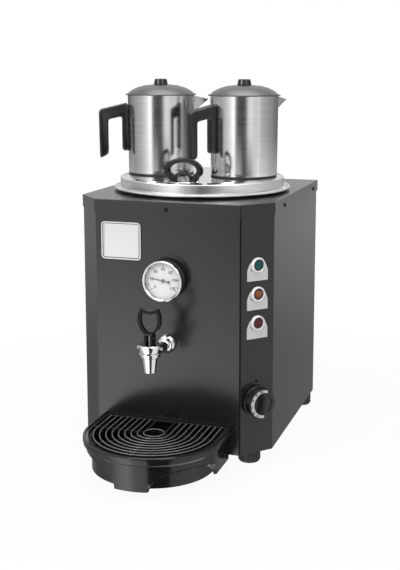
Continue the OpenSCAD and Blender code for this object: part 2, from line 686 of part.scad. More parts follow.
module gauge_pointer() color([0.1, 0.1, 0.1]) on_front(0, dial_z)
    rotate([0, 0, 120 - 2 * rest_reading]) {
        translate([0, 0, gauge_depth - 7]) {
            linear_extrude(0.5) union() {
                polygon([[-1, 0], [-0.35, 22], [0.35, 22], [1, 0]]);
                translate([-1, -8]) square([2, 8]);
                translate([0, -9.5]) circle(r = 2.6);
                circle(r = 3.2);
            }
        }
        translate([0, 0, 8]) cylinder(r = 0.8, h = gauge_depth - 14.5);
    }

// pocket that keeps the sensing stem dry, from the tank's boss to the panel
module gauge_pocket() color([0.72, 0.6, 0.3]) translate([0, front_y, dial_z]) rotate([90, 0, 0]) difference() {
    reach = tank_setback - tank_r;
    union() {
        translate([0, 0, -reach - pocket_len]) cylinder(r = pocket_r, h = reach + pocket_len);
        translate([0, 0, -sheet_t - seat - 5]) cylinder(r = 11, h = 5, $fn = 6);
    }
    translate([0, 0, -reach - pocket_len + 2]) cylinder(r = probe_r + seat, h = reach + pocket_len);
}

// ---- tap -------------------------------------------------------------------------------
module tap_body() color([0.85, 0.85, 0.86]) difference() {
    union() {
        // nozzle and valve chamber
        translate([0, tap_y, 0]) rotate_extrude() polygon([[0, nozzle_z], [nozzle_r - 0.8, nozzle_z],
            [nozzle_r, nozzle_z + 0.8], [nozzle_r + 3.2, shank_z - 1.2], [bonnet_r - 3.6, shank_z - 0.9],
            [bonnet_r - 2.8, shank_z - 0.1], [bonnet_r - 1.2, shank_z + 5.2], [bonnet_r - 1.6, shank_z + 6.6],
            [bonnet_r - 3.2, bonnet_z - 1], [bonnet_r - 3.2, bonnet_z - seat], [0, bonnet_z - seat]]);
        // arm and threaded shank into the tank
        translate([0, tap_y, shank_z]) rotate([-90, 0, 0]) {
            cylinder(r = shank_r + 1, h = tap_reach - seat);
            cylinder(r = shank_r, h = tap_reach + tank_setback - tank_r + 14);
        }
    }
    // water way
    translate([0, tap_y, nozzle_z - 1]) cylinder(r = nozzle_r - 2.5, h = shank_z - nozzle_z - 8);
    translate([0, tap_y, valve_seat_z]) cylinder(r = cup_r + 2.2, h = 60);
    translate([0, tap_y, shank_z]) rotate([-90, 0, 0]) cylinder(r = shank_bore_r, h = 200);
    // seat for the bonnet, cut out of the arm
    translate([0, tap_y, bonnet_z - seat]) cylinder(r = bonnet_r + 1.2, h = 20);
}

module tap_flange() color([0.85, 0.85, 0.86]) on_front(0, shank_z) rotate_extrude() polygon(concat(
    [[shank_r + 1 + seat, seat], [15.5, seat], [15.5, 1.2]],
    [for (a = [0:12.5:75]) [8.6 + 6.9 * cos(a), 1.2 + 8.6 * sin(a)]], [[shank_r + 1 + seat, 10]]));

module tap_bonnet() color([0.85, 0.85, 0.86]) translate([0, tap_y, 0]) difference() {
    union() {
        rotate_extrude() polygon([[0, bonnet_z], [bonnet_r - 2.6, bonnet_z], [bonnet_r - 1.8, bonnet_z + 0.6],
            [bonnet_r - 0.8, bonnet_z + 4], [bonnet_r - 0.1, bonnet_z + 8], [bonnet_r, bonnet_top_z - 0.9],
            [bonnet_r - 0.9, bonnet_top_z], [0, bonnet_top_z]]);
        // two lugs for turning it by hand
        for (s = [-1, 1]) translate([s * (bonnet_r + 0.6), 0, bonnet_z + 3.2]) rotate([0, 0, 45])
            cylinder(r1 = 2.6, r2 = 1.8, h = 4, $fn = 24);
    }
    translate([0, 0, bonnet_z - 1]) cylinder(r = stem_r + run_gap, h = 30);
    translate([0, 0, bonnet_z - 1]) cylinder(r = cup_r, h = 5);
}

// nuts that clamp the shank to the tank's wall, and the soft washer under the outer one
module tap_locknut() color([0.72, 0.6, 0.3]) translate([0, -tank_in_r, shank_z]) rotate([-90, 0, 0]) difference() {
    union() {
        translate([0, 0, 1.2]) cylinder(r = 16, h = 6, $fn = 6);
        translate([0, 0, -14]) cylinder(r = 16, h = 6, $fn = 6);
    }
    cylinder(r = shank_r + seat, h = 60, center = true);
}
module tap_seal() color([0.1, 0.1, 0.1]) translate([0, -tank_in_r - 4 - seat, shank_z]) rotate([90, 0, 0])
    tube(shank_r + 4.5, shank_r + seat, 4 - 2 * seat);

module tap_stem() color([0.7, 0.7, 0.7]) translate([0, tap_y, 0]) difference() {
    union() {
        translate([0, 0, valve_seat_z + 0.1]) cylinder(r1 = cup_r - 1.5, r2 = cup_r, h = cup_h);
        translate([0, 0, valve_seat_z + cup_h]) cylinder(r = stem_r, h = pin_z + 4 - valve_seat_z - cup_h);
    }
    translate([-20, 0, pin_z]) rotate([0, 90, 0]) cylinder(r = pin_r + run_gap, h = 40);
}

// closing spring between the stem's cup and the bonnet
module tap_spring() color([0.6, 0.6, 0.6]) translate([0, tap_y, 0]) {
    low = valve_seat_z + cup_h + 1;
    high = bonnet_z + 3;
    turns = 4;
    steps = 12;
    coil_r = 5.2;
    wire = 0.6;
    skin([for (k = [0:turns * steps]) let (a = 360 * k / steps, z = low + (high - low) * k / (turns * steps))
        [for (t = [0:60:300]) [(coil_r + wire * cos(t)) * cos(a), (coil_r + wire * cos(t)) * sin(a),
            z - wire * sin(t)]]]);
}

// tulip outline of the handle: two wide arcs that meet at the foot, hollowed at the top
module tulip(grow) {
    arc_r = 30;
    half_w = 18.7;
    mid = 38.6;
    top_arc = 23.5;
    difference() {
        intersection() {
            translate([arc_r - half_w, mid]) circle(r = arc_r + grow);
            translate([half_w - arc_r, mid]) circle(r = arc_r + grow);
        }
        translate([0, handle_h - 5 + top_arc]) circle(r = top_arc - grow);
    }
}

module tap_handle() color([0.07, 0.07, 0.07]) translate([0, tap_y, bonnet_top_z]) difference() {
    loop_t = 6.4;
    union() {
        rotate([90, 0, 0]) translate([0, 0, -loop_t / 2]) linear_extrude(loop_t) difference() {
            tulip(0);
            tulip(-5);
        }
        // foot whose rounded underside rides on the bonnet and lifts the stem
        rotate([0, 90, 0]) translate([0, 0, -handle_foot]) linear_extrude(2 * handle_foot) intersection() {
            offset(r = 4) translate([-14, -5]) square([9.7, 10]);
            translate([-30, -20]) square([30, 40]);
        }
    }
    // slot for the stem's head
    translate([-stem_r - 0.5, -20, -1]) cube([2 * stem_r + 1, 40, 16.5]);
    translate([-20, 0, pin_z - bonnet_top_z]) rotate([0, 90, 0]) cylinder(r = pin_r + seat, h = 40);
}

module tap_pin() color([0.85, 0.85, 0.86]) translate([-handle_foot - 0.8, tap_y, pin_z]) rotate([0, 90, 0])
    cylinder(r = pin_r, h = 2 * handle_foot + 1.6);

// ---- drip tray -------------------------------------------------------------------------
// half of the tray's section, from the middle outwards
tray_section = [[0, floor_z], [wall_low_r - 4.5, floor_z], [wall_low_r - 4.5, tray_bottom_z],
    [wall_low_r, tray_bottom_z], [wall_high_r, lip_z], [wall_high_r + 2, lip_z], [tray_r - 1, lip_z + 3],
    [tray_r, lip_z + 8], [tray_r, rim_z - 2.2], [tray_r - 0.7, rim_z - 0.7], [tray_r - 2.2, rim_z],
    [grille_r + free_gap, rim_z], [grille_r + free_gap, ledge_z], [cavity_high_r, ledge_z],
    [cavity_low_r, floor_z + tray_wall], [0, floor_z + tray_wall]];

// shape with a round front and straight sides running back to the plane y = back
module tray_sweep(section, back) {
    translate([0, tray_y, 0]) rotate([0, 0, 180]) rotate_extrude(angle = 180) polygon(section);
    translate([0, back, 0]) rotate([90, 0, 0]) linear_extrude(back - tray_y)
        let (side = [for (p = section) if (p[0] > 0) p])
            polygon(concat(side, [for (p = reversed(side)) [-p[0], p[1]]]));
}

// arched hollow in the tray's wall, centred at angle a from the front
module arch_cutter(a) {
    half = 38;
    rise = 30.6;
    foot_z = tray_bottom_z + 2;
    steps = 18;
    // distance outwards, how far the arch has spread there, and whether the ring is flat
    levels = [[wall_low_r - 40, -1.55 * recess, 1], [wall_low_r - recess - 4, -1.55 * recess, 0],
        [wall_high_r, 0.6, 0],
        [wall_high_r + 16, 0.6, 1]];
    difference() {
        skin([for (v = levels) [for (i = [0:steps + 2])
            let (t = 180 * min(i, steps) / steps,
                spread = (half + v[1] * 0.55) * (i == steps + 2 ? 1 : cos(t)),
                z = i > steps ? foot_z - 12 : foot_z + (rise + v[1]) * sin(t),
                reach = v[2] == 1 ? v[0] / cos(spread) : v[0])
            [reach * sin(a + spread), tray_y - reach * cos(a + spread), z]]]);
        translate([0, tray_y, tray_bottom_z - 20]) cylinder(r = wall_low_r - recess, h = 100);
    }
}

module tray_bowl() color([0.1, 0.1, 0.1]) difference() {
    union() {
        tray_sweep(tray_section, tray_back_y);
        // back wall
        intersection() {
            tray_sweep([[0, floor_z], [wall_low_r, floor_z], [wall_high_r, lip_z], [wall_high_r, ledge_z],
                [0, ledge_z]], tray_back_y);
            translate([-200, tray_back_y - 3, 0]) cube([400, 3, 200]);
        }
    }
    for (s = [-1, 1]) arch_cutter(s * 52);
    // keyholes that hang on the two hooks
    for (x = [-hook_x, hook_x]) on_front(x, hook_z) {
        translate([0, 0, -1]) cylinder(r = hook_r + run_gap, h = 12);
        translate([0, -tray_lift, -1]) cylinder(r = hook_head_r + 0.5, h = 12);
        translate([-hook_r - run_gap, -tray_lift, -1]) cube([2 * (hook_r + run_gap), tray_lift, 12]);
    }
}

module tray_hooks() color([0.75, 0.75, 0.75]) for (x = [-hook_x, hook_x]) on_front(x, hook_z) {
    translate([0, 0, -sheet_t - 3]) cylinder(r = hook_r, h = sheet_t + 3 + 3.5 + free_gap + 0.4);
    translate([0, 0, 3.5 + free_gap + 0.2]) cylinder(r = hook_head_r, h = 1.5);
    translate([0, 0, -sheet_t - seat - 2.5]) cylinder(r = 4.5, h = 2.5, $fn = 6);
}

// plan of the grille's ribs: radius r in front, straight legs back to y = back
module u_shape(r, back) {
    translate([0, tray_y]) circle(r = r);
    translate([-r, tray_y]) square([2 * r, back - tray_y]);
}

module in_front_of(back) {
    intersection() {
        children();
        translate([-200, tray_y - 200]) square([400, 200 + back - tray_y]);
    }
}

module tray_grille() color([0.12, 0.12, 0.12]) {
    grille_back = tray_back_y - 3 - free_gap;
    slot_back = front_y - 8;
    translate([0, 0, grille_top_z - grille_t + seat]) linear_extrude(grille_t - seat) difference() {
        in_front_of(grille_back) u_shape(grille_r, grille_back);
        in_front_of(slot_back) u_shape(slot_r, slot_back);
    }
    // the ribs are deep inside the tray's mouth and thin where they cross its ledge
    translate([0, 0, grille_top_z - grille_t + seat]) linear_extrude(grille_t - seat)
        rib_plan(slot_r + 0.1, slot_back);
    translate([0, 0, grille_top_z - rib_h]) linear_extrude(rib_h) rib_plan(cavity_high_r - free_gap, slot_back);
}

module rib_plan(reach, slot_back) {
    in_front_of(slot_back + 0.1) intersection() {
        u_shape(reach, slot_back + 0.1);
        union() {
            for (r = [hub_r:rib_pitch:slot_r - rib_w]) difference() {
                u_shape(r + rib_w / 2, slot_back + 1);
                u_shape(r - rib_w / 2, slot_back + 2);
            }
            // the middle ring closes behind
            difference() {
                translate([0, tray_y]) circle(r = hub_r + rib_w / 2);
                translate([0, tray_y]) circle(r = hub_r - rib_w / 2);
            }
            for (a = [180:45:360]) translate([0, tray_y]) rotate([0, 0, a]) translate([hub_r, -rib_w / 2])
                square([slot_r - hub_r + 1, rib_w]);
        }
    }
}

// ---- loose lid and filling cap ---------------------------------------------------------
module main_lid() color([0.85, 0.85, 0.86]) difference() {
    band_out = tank_r + free_gap + lid_t;
    crown_w = 12;
    rotate_extrude() polygon([[tank_r + free_gap, gutter_z + free_gap],
        [band_out, gutter_z + free_gap], [band_out, fold_z - 1.6], [band_out - 0.5, fold_z - 0.5],
        [band_out - 1.6, fold_z], [band_out - 4, fold_z], [band_out - crown_w, plate_z], [0, plate_z],
        [0, plate_z - lid_t], [band_out - crown_w, plate_z - lid_t], [band_out - 4, fold_z - lid_t],
        [tank_r + free_gap, fold_z - lid_t]]);
    for (s = [-1, 1]) translate([s * pot_x, pot_y, plate_z - 5]) cylinder(r = steam_r, h = 10);
    translate([fill_x, -fill_y, plate_z - 5]) cylinder(r = fill_r, h = 10);
}

module fill_cap() color([0.8, 0.8, 0.81]) translate([fill_x, -fill_y, plate_z + seat]) {
    rotate_extrude() polygon([[0, 0], [fill_r + 2.5, 0], [fill_r + 3, 0.5], [fill_r + 2.5, 1], [fill_r - 4, 1.6],
        [0, 1.6]]);
    // guide rim that drops into the filling hole
    translate([0, 0, -5]) tube(fill_r - free_gap, fill_r - free_gap - 1, 5.1);
    // screw between the feet of the handle, and a stud into each foot
    difference() {
        translate([0, 0, 1.5]) cylinder(r = 4, h = 2.4);
        translate([-5, -0.5, 3.1]) cube([10, 1, 2]);
    }
    for (s = [-1, 1]) translate([s * 18, 0, 1.5]) cylinder(r = 1.5, h = 5);
}

module fill_handle() color([0.07, 0.07, 0.07])
    translate([fill_x, -fill_y, plate_z + seat + 1.6 + seat]) difference() {
        half_w = 33;
        mid = 16;
        rotate([90, 0, 0]) translate([0, 0, -4.75]) linear_extrude(9.5) difference() {
            polygon(concat([for (a = [0:10:180]) [half_w * cos(a), mid + 21 * sin(a)]],
                [[-half_w + 1.5, mid - 5], [-25, 3], [-25, 0], [25, 0], [25, 3], [half_w - 1.5, mid - 5]]));
            // grip opening above the arch between the feet
            difference() {
                polygon(concat([for (a = [0:12:180]) [22.5 * cos(a), mid + 12 * sin(a)]],
                    [[-20, mid - 4], [-13, mid - 9], [13, mid - 9], [20, mid - 4]]));
                circle(r = 15.2);
            }
            intersection() {
                circle(r = 10.8);
                translate([-20, -1]) square([40, 20]);
            }
        }
        for (s = [-1, 1]) translate([s * 18, 0, -1]) cylinder(r = 1.5 + seat, h = 7);
    }

// ---- teapots ---------------------------------------------------------------------------
module pot_place(s) { translate([s * pot_x - pot_shift, pot_y, pot_z]) children(); }
// radius of the outside of the wall at height z above the foot
function pot_r(z) = pot_foot_r + (pot_mouth_r - pot_foot_r) * z / pot_h;

module pot_outside() {
    rotate_extrude() polygon([[0, 0], [pot_foot_r - 1.4, 0], [pot_foot_r - 0.4, 0.6], [pot_foot_r, 1.8],
        [pot_mouth_r, pot_h], [0, pot_h]]);
}

// hollow wedge of the spout along local -X; raise lifts it to cut the inside
module spout(raise) {
    tip_x = pot_mouth_r + spout_len;
    root_x = pot_mouth_r - 7;
    k = 1 + 7 / spout_len;
    tip_z = pot_h - 7.5 + raise * 0.6;
    top = tip_z + 6 * k + raise * 0.4;
    low = tip_z - 22 * k + raise * 0.4;
    end = raise > 0 ? tip_x - 1.4 : tip_x;
    skin([
        [[-root_x, 14 * k, top], [-root_x, 0, low], [-root_x, -14 * k, top]],
        [[-end, 0.7, tip_z + 0.5], [-end, 0, tip_z - 0.7], [-end, -0.7, tip_z + 0.5]]]);
}

// handle studs point along local +X, the spout along local -X
module pot(turn) color([0.78, 0.78, 0.79]) translate([0, 0, seat]) rotate([0, 0, turn]) difference() {
    union() {
        difference() {
            pot_outside();
            rotate_extrude() polygon([[0, pot_t], [pot_foot_r - 3, pot_t], [pot_foot_r - pot_t, 3],
                [pot_mouth_r - pot_t, pot_h + 1], [0, pot_h + 1]]);
        }
        difference() {
            spout(0);
            spout(2);
            rotate_extrude() polygon([[0, 0], [pot_foot_r - 0.2, 0], [pot_mouth_r - 0.2, pot_h + 1], [0, pot_h + 1]]);
        }
        // studs for the handle
        for (z = handle_screw_z) translate([pot_r(z) - 0.5, 0, z]) rotate([0, 90, 0]) cylinder(r = 2, h = 5.5);
    }
    // strainer holes behind the spout
    for (q = [[-5, 12], [0, 12], [5, 12], [0, 18], [0, 23.5]])
        translate([-40, q[0], pot_h - q[1]]) rotate([0, -90, 0]) cylinder(r = 1.7, h = pot_mouth_r - 38.6, $fn = 24);
}
handle_screw_z = [52, pot_h - 34];

module pot_handle(turn) color([0.07, 0.07, 0.07]) translate([0, 0, seat]) rotate([0, 0, turn]) difference() {
    pad_in = pot_mouth_r - 2;
    pad_out = pot_mouth_r + 10.3;
    grip_in = grip_reach - grip_t;
    arm_z = pot_h - 12;
    end_z = arm_z - 0.235 * (grip_reach - pad_in);
    wide = grip_w / 2;
    back = concat([[pad_in, 39.4], [pad_in, 41], [pad_in, 44], [pad_in, 75]],
        round_corner([pad_in, 39], [pad_in, arm_z], [grip_reach, end_z], 5.5, 6),
        round_corner([pad_in, arm_z], [grip_reach, end_z], [grip_reach - 0.9, 28], 7, 8),
        [[grip_reach - 0.5, 60], [grip_reach - 0.9, 36], [grip_reach - 1.1, 29.6], [grip_reach - 2.8, 27.8]]);
    front = concat([[pad_out - 3.2, 39.6], [pad_out - 0.9, 41.2], [pad_out, 44], [pad_out, 70]],
        round_corner([pad_out, 39], [pad_out, arm_z - 24.4], [grip_in, arm_z - 29.5], 3.5, 6),
        round_corner([pad_out, arm_z - 24.4], [grip_in, arm_z - 29.5], [grip_in - 0.4, 30], 4.5, 8),
        [[grip_in, 60], [grip_in - 0.2, 41], [grip_in + 0.6, 35.4], [grip_in + 3, 32.6]]);
    bar_between(back, front, [wide - 3, wide - 1.4, wide - 1, wide - 1, for (i = [0:6]) wide - 1,
        for (i = [0:8]) wide - 1 + i / 8, wide, wide, wide - 0.7, wide - 2.8]);
    // hollow that seats on the pot's wall
    rotate_extrude() polygon([[0, -1], [pot_foot_r + seat, 0], [pot_mouth_r + seat, pot_h], [0, pot_h + 1]]);
    for (z = handle_screw_z) translate([pot_foot_r - 1, 0, z]) rotate([0, 90, 0]) cylinder(r = 2 + seat, h = 8);
}

// height of the lid's dome at fraction s of its radius
function dome_z(s) = 2 + (dome_h - 2) * pow(1 - pow(s, 3), 0.9);

module pot_lid() color([0.24, 0.24, 0.25]) translate([0, 0, pot_h + 2 * seat]) difference() {
    dome_r = lid_rim_r - 3;
    skirt_r = pot_mouth_r - pot_t - 0.8;
    rotate_extrude() polygon(concat(
        [for (q = [0, 0.25, 0.5, 0.7, 0.82, 0.9]) [(dome_r - 0.9) * q, dome_z(q) - 0.9]],
        [[skirt_r - 0.8, dome_z((skirt_r - 0.8) / dome_r) - 1.4], [skirt_r - 0.8, -7], [skirt_r, -7], [skirt_r, 0], [lid_rim_r, 0],
            [lid_rim_r + 0.3, 0.6], [lid_rim_r, 1.4], [dome_r + 0.4, 1.8]],
        [for (q = [1, 0.985, 0.95, 0.9, 0.82, 0.7, 0.5, 0.25, 0]) [dome_r * q, dome_z(q)]]));
    translate([0, 0, -10]) cylinder(r = 2 + seat, h = 60);
}

module pot_knob() color([0.06, 0.06, 0.06]) translate([0, 0, pot_h + dome_h + 3 * seat]) {
    rotate_extrude() polygon([[0, 0], [11.8, 0], [12, 0.8], [10.4, 8.4], [9.6, 9.2], [5, 9.6], [0, 9.6]]);
    translate([0, 0, -5]) cylinder(r = 2, h = 6);
}

module pot_left() { pot_place(-1) pot(left_turn); }
module pot_left_handle() { pot_place(-1) pot_handle(left_turn); }
module pot_left_lid() { pot_place(-1) pot_lid(); }
module pot_left_knob() { pot_place(-1) pot_knob(); }
module pot_right() { pot_place(1) pot(right_turn); }
module pot_right_handle() { pot_place(1) pot_handle(right_turn); }
module pot_right_lid() { pot_place(1) pot_lid(); }
module pot_right_knob() { pot_place(1) pot_knob(); }

base_plate();
front_shell();
control_shell();
back_panel();
top_cover();
cover_screws();
back_screws();
name_plate();
cable_gland();
foot_front_left();
foot_front_right();
foot_rear_left();
foot_rear_right();
tank();
tank_ring();
tank_stand();
heater_flange();
heater_element();
safety_cutout();
thermostat_body();
thermostat_bulb();
lamp_bodies();
lamp_nuts();
lamp_rings();
lamp_labels();
lens_green();
lens_amber();
lens_red();
knob();
knob_scale();
gauge_case();
gauge_bezel();
gauge_glass();
gauge_dial();
gauge_pointer();
gauge_pocket();
tap_body();
tap_flange();
tap_bonnet();
tap_locknut();
tap_seal();
tap_stem();
tap_spring();
tap_handle();
tap_pin();
tray_hooks();
tray_bowl();
tray_grille();
main_lid();
fill_cap();
fill_handle();
pot_left();
pot_left_handle();
pot_left_lid();
pot_left_knob();
pot_right();
pot_right_handle();
pot_right_lid();
pot_right_knob();
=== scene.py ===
"""Hot water urn with two teapots, dressed around its fixed frame. Metres, +Z up, -Y is the front."""

import math

import bmesh
import bpy
import numpy as np
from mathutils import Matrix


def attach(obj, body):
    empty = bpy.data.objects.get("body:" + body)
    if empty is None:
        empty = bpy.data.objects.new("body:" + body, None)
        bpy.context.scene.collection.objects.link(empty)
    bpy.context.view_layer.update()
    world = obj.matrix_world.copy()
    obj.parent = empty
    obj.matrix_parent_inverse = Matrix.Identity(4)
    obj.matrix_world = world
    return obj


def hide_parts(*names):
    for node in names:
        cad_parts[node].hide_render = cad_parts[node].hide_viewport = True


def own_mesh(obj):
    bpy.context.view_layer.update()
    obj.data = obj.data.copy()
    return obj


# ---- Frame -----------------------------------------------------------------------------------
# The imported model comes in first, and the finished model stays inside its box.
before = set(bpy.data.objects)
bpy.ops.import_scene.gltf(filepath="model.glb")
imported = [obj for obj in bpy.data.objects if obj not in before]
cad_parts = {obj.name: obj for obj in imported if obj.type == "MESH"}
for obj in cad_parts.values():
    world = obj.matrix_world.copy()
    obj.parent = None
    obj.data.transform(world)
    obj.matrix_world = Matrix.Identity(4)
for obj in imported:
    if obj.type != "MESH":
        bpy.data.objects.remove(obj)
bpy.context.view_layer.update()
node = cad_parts
bpy.context.scene.view_settings.view_transform = "Standard"


# ---- Studio ----------------------------------------------------------------------------------
# The urn stands in a white studio: the camera is in front, to the right and a little above, with
# soft lamps to the left, to the right and overhead, and a ring of screens for the metal to mirror.
CAMERA_PLACE = (0.5424, -1.6620, 0.6378)
CAMERA_AZIMUTH = math.radians(17.90)
CAMERA_PITCH = math.radians(9.33)
FOCAL_PER_WIDTH = 1025.0 / 400.0
SENSOR = 36.0
FRAME_ASPECT = 570.0 / 400.0
# where the optical axis meets the picture, as fractions of its width and height from top left
AXIS_ACROSS, AXIS_DOWN = 205.3 / 400.0, 228.8 / 570.0

camera_data = bpy.data.cameras.new("camera")
camera = bpy.data.objects.new("camera", camera_data)
bpy.context.scene.collection.objects.link(camera)
bpy.context.scene.camera = camera
camera.location = CAMERA_PLACE
camera.rotation_euler = (math.pi / 2 - CAMERA_PITCH, 0.0, CAMERA_AZIMUTH)
# the picture is taller than wide, so the sensor and both shifts are measured along its height
camera_data.sensor_fit = "VERTICAL"
camera_data.sensor_height = SENSOR * FRAME_ASPECT
camera_data.lens = FOCAL_PER_WIDTH * SENSOR
camera_data.shift_x = (0.5 - AXIS_ACROSS) / FRAME_ASPECT
camera_data.shift_y = AXIS_DOWN - 0.5
camera_data.clip_start = 0.05


def soft_light(name, place, aim, wide, high, watts):
    """A rectangular lamp wide by high metres at place, turned to face the point aim."""
    data = bpy.data.lights.new(name, "AREA")
    data.shape, data.size, data.size_y, data.energy = "RECTANGLE", wide, high, watts
    lamp = bpy.data.objects.new(name, data)
    bpy.context.scene.collection.objects.link(lamp)
    lamp.location = place
    away = np.array(place) - np.array(aim)
    flat = math.hypot(away[0], away[1])
    lamp.rotation_euler = (math.atan2(flat, away[2]), 0.0, math.atan2(away[0], -away[1]))


URN_MIDDLE = (0.0, -0.05, 0.30)
soft_light("key_left", (-1.15, -1.75, 1.75), URN_MIDDLE, 0.9, 0.9, 30.0)
soft_light("fill_right", (1.7, -1.2, 1.9), URN_MIDDLE, 1.2, 0.9, 12.0)
soft_light("top", (0.0, 0.1, 2.4), URN_MIDDLE, 1.6, 1.6, 16.0)
# narrow strips draw thin light lines along rounded black edges
soft_light("strip_over", (0.1, -0.55, 1.9), URN_MIDDLE, 1.8, 0.3, 9.0)
soft_light("strip_left", (-0.58, -2.15, 0.75), URN_MIDDLE, 0.07, 1.3, 0.45)
soft_light("strip_right", (1.75, -0.75, 0.75), URN_MIDDLE, 0.08, 1.3, 0.3)


def node_setup(name):
    """A new node material: (material, its nodes, its links, its Principled shader)."""
    made = bpy.data.materials.new(name)
    made.use_nodes = True
    tree = made.node_tree
    return made, tree.nodes, tree.links, tree.nodes["Principled BSDF"]


# the world is white to the eye, in mirrors and through glass, and plain pale grey as a light
world = bpy.data.worlds.new("studio")
bpy.context.scene.world = world
world.use_nodes = True
sky = world.node_tree
sky.nodes.clear()
WORLD_LIGHT = 0.45


def join_math(tree, kind, first, second=None):
    """One Math node in a node tree: each input is a number or an output socket."""
    made = tree.nodes.new("ShaderNodeMath")
    made.operation = kind
    for place, given in zip(made.inputs, (first, second)):
        if isinstance(given, (int, float)):
            place.default_value = given
        elif given is not None:
            tree.links.new(given, place)
    return made.outputs[0]


def background_rays(tree):
    """Mask of the rays that see the background: the camera's own, mirrored ones and those
    through glass."""
    seen = tree.nodes.new("ShaderNodeLightPath").outputs
    eye_or_glass = join_math(tree, "MAXIMUM", seen["Is Camera Ray"], seen["Is Transmission Ray"])
    return join_math(tree, "MAXIMUM", eye_or_glass, seen["Is Glossy Ray"])


lit, white = sky.nodes.new("ShaderNodeBackground"), sky.nodes.new("ShaderNodeBackground")
lit.inputs["Color"].default_value = (WORLD_LIGHT, WORLD_LIGHT, WORLD_LIGHT, 1.0)
white.inputs["Color"].default_value = (1.0, 1.0, 1.0, 1.0)
pick, out = sky.nodes.new("ShaderNodeMixShader"), sky.nodes.new("ShaderNodeOutputWorld")
sky.links.new(background_rays(sky), pick.inputs[0])
sky.links.new(lit.outputs[0], pick.inputs[1])
sky.links.new(white.outputs[0], pick.inputs[2])
sky.links.new(pick.outputs[0], out.inputs["Surface"])


def sheet_mesh(name, points, faces):
    """A mesh object from an (n, 3) array of points and a list of faces."""
    mesh = bpy.data.meshes.new(name)
    mesh.from_pydata(np.asarray(points).tolist(), [], [list(map(int, f)) for f in faces])
    mesh.update()
    made = bpy.data.objects.new(name, mesh)
    bpy.context.scene.collection.objects.link(made)
    return made


def circle(radius, sides):
    """Points (radius cos t, radius sin t) at equal steps of t, once round."""
    t = np.linspace(0, 2 * math.pi, sides, endpoint=False)
    return radius * np.stack([np.cos(t), np.sin(t)], 1)


# The floor is a pale disc that keeps only the urn's soft shadow. To the eye it glows a little
# less than the world under the urn and as much as the world at its rim, so that no edge shows.
FLOOR_REACH, FLOOR_SIDES = 0.85, 64
FADE_START, FADE_END = 0.45, 0.95 * FLOOR_REACH
GLOW_NEAR, GLOW_RIM = 0.94, 1.0
rim = np.column_stack([circle(FLOOR_REACH, FLOOR_SIDES), np.zeros(FLOOR_SIDES)])
floor = sheet_mesh("floor", rim, [range(FLOOR_SIDES)])
floor_paint, paint_nodes, paint_links, paint = node_setup("floor_white")
paint.inputs["Base Color"].default_value = (0.6, 0.6, 0.6, 1.0)
paint.inputs["Roughness"].default_value = 0.9
glow = paint_nodes.new("ShaderNodeEmission")
glow.inputs["Strength"].default_value = 1.0
floor_place, far = paint_nodes.new("ShaderNodeTexCoord"), paint_nodes.new("ShaderNodeVectorMath")
far.operation = "LENGTH"
fade = paint_nodes.new("ShaderNodeMapRange")
fade.inputs["From Min"].default_value, fade.inputs["From Max"].default_value = FADE_START, FADE_END
fade.inputs["To Min"].default_value, fade.inputs["To Max"].default_value = GLOW_NEAR, GLOW_RIM
blend = paint_nodes.new("ShaderNodeMixShader")
paint_links.new(floor_place.outputs["Object"], far.inputs[0])
paint_links.new(far.outputs["Value"], fade.inputs["Value"])
floor_tree = floor_paint.node_tree
glowing = join_math(floor_tree, "MULTIPLY", background_rays(floor_tree), fade.outputs["Result"])
paint_links.new(glowing, blend.inputs[0])
paint_links.new(paint.outputs[0], blend.inputs[1])
paint_links.new(glow.outputs[0], blend.inputs[2])
paint_links.new(blend.outputs[0], paint_nodes["Material Output"].inputs["Surface"])
floor.data.materials.append(floor_paint)
floor.visible_glossy = False

# A ring of standing screens out of the camera's sight gives the metal something to mirror.
# Its brightness is listed round the ring at three heights, from bright cloth to the left of the
# camera over a black one behind it to bright cloth at its right, and it fades towards the back.
RING_REACH, RING_LOW, RING_HIGH, RING_SIDES = 2.8, -3.0, 1.75, 96
SCREEN_STRENGTH = 2.8
# (degrees to the right of the camera, brightness as a share of SCREEN_STRENGTH)
SCREENS_HIGH = [
    (-180, 0.05), (-144, 0.05), (-128, 0.08), (-106, 0.13), (-89, 0.155), (-74, 0.19), (-60, 0.25),
    (-50, 0.33), (-44, 0.42), (-39, 0.6), (-34, 0.6), (-31.5, 0.05), (-18, 0.02), (0, 0.02),
    (6, 0.035), (11, 0.27), (17, 0.37), (25, 0.33), (35, 0.28), (47, 0.23), (60, 0.19),
    (74, 0.16), (89, 0.135), (106, 0.11), (128, 0.075), (160, 0.05)]
SCREENS_LOW = [
    (-180, 0.21), (-117, 0.21), (-106, 0.13), (-89, 0.155), (-74, 0.19), (-60, 0.25), (-50, 0.34),
    (-41, 0.42), (-36, 0.35), (-31, 0.23), (-12, 0.23), (-7, 0.02), (24, 0.02), (30, 0.28),
    (45, 0.32), (75, 0.32), (92, 0.24), (117, 0.21)]
SCREENS_LOWEST = [
    (-180, 0.11), (-117, 0.11), (-92, 0.2), (-70, 0.36), (-55, 0.8), (-41, 1.0), (-30, 0.6),
    (-12, 0.45), (-7, 0.02), (24, 0.02), (30, 0.28), (45, 0.32), (75, 0.32), (92, 0.22), (117, 0.11)]
BACKDROP = 0.27
ring = circle(RING_REACH, RING_SIDES)
ends = [np.column_stack([ring, np.full(RING_SIDES, z)]) for z in (RING_LOW, RING_HIGH)]
here = np.arange(RING_SIDES)
beside = (here + 1) % RING_SIDES
screen = sheet_mesh("screens", np.concatenate(ends),
                    np.stack([here, beside, RING_SIDES + beside, RING_SIDES + here], 1))
cloth, cloth_nodes, cloth_links, unused = node_setup("screen_cloth")
cloth_tree = cloth.node_tree
cloth_nodes.remove(unused)
cloth_place, cloth_parts = cloth_nodes.new("ShaderNodeTexCoord"), cloth_nodes.new("ShaderNodeSeparateXYZ")
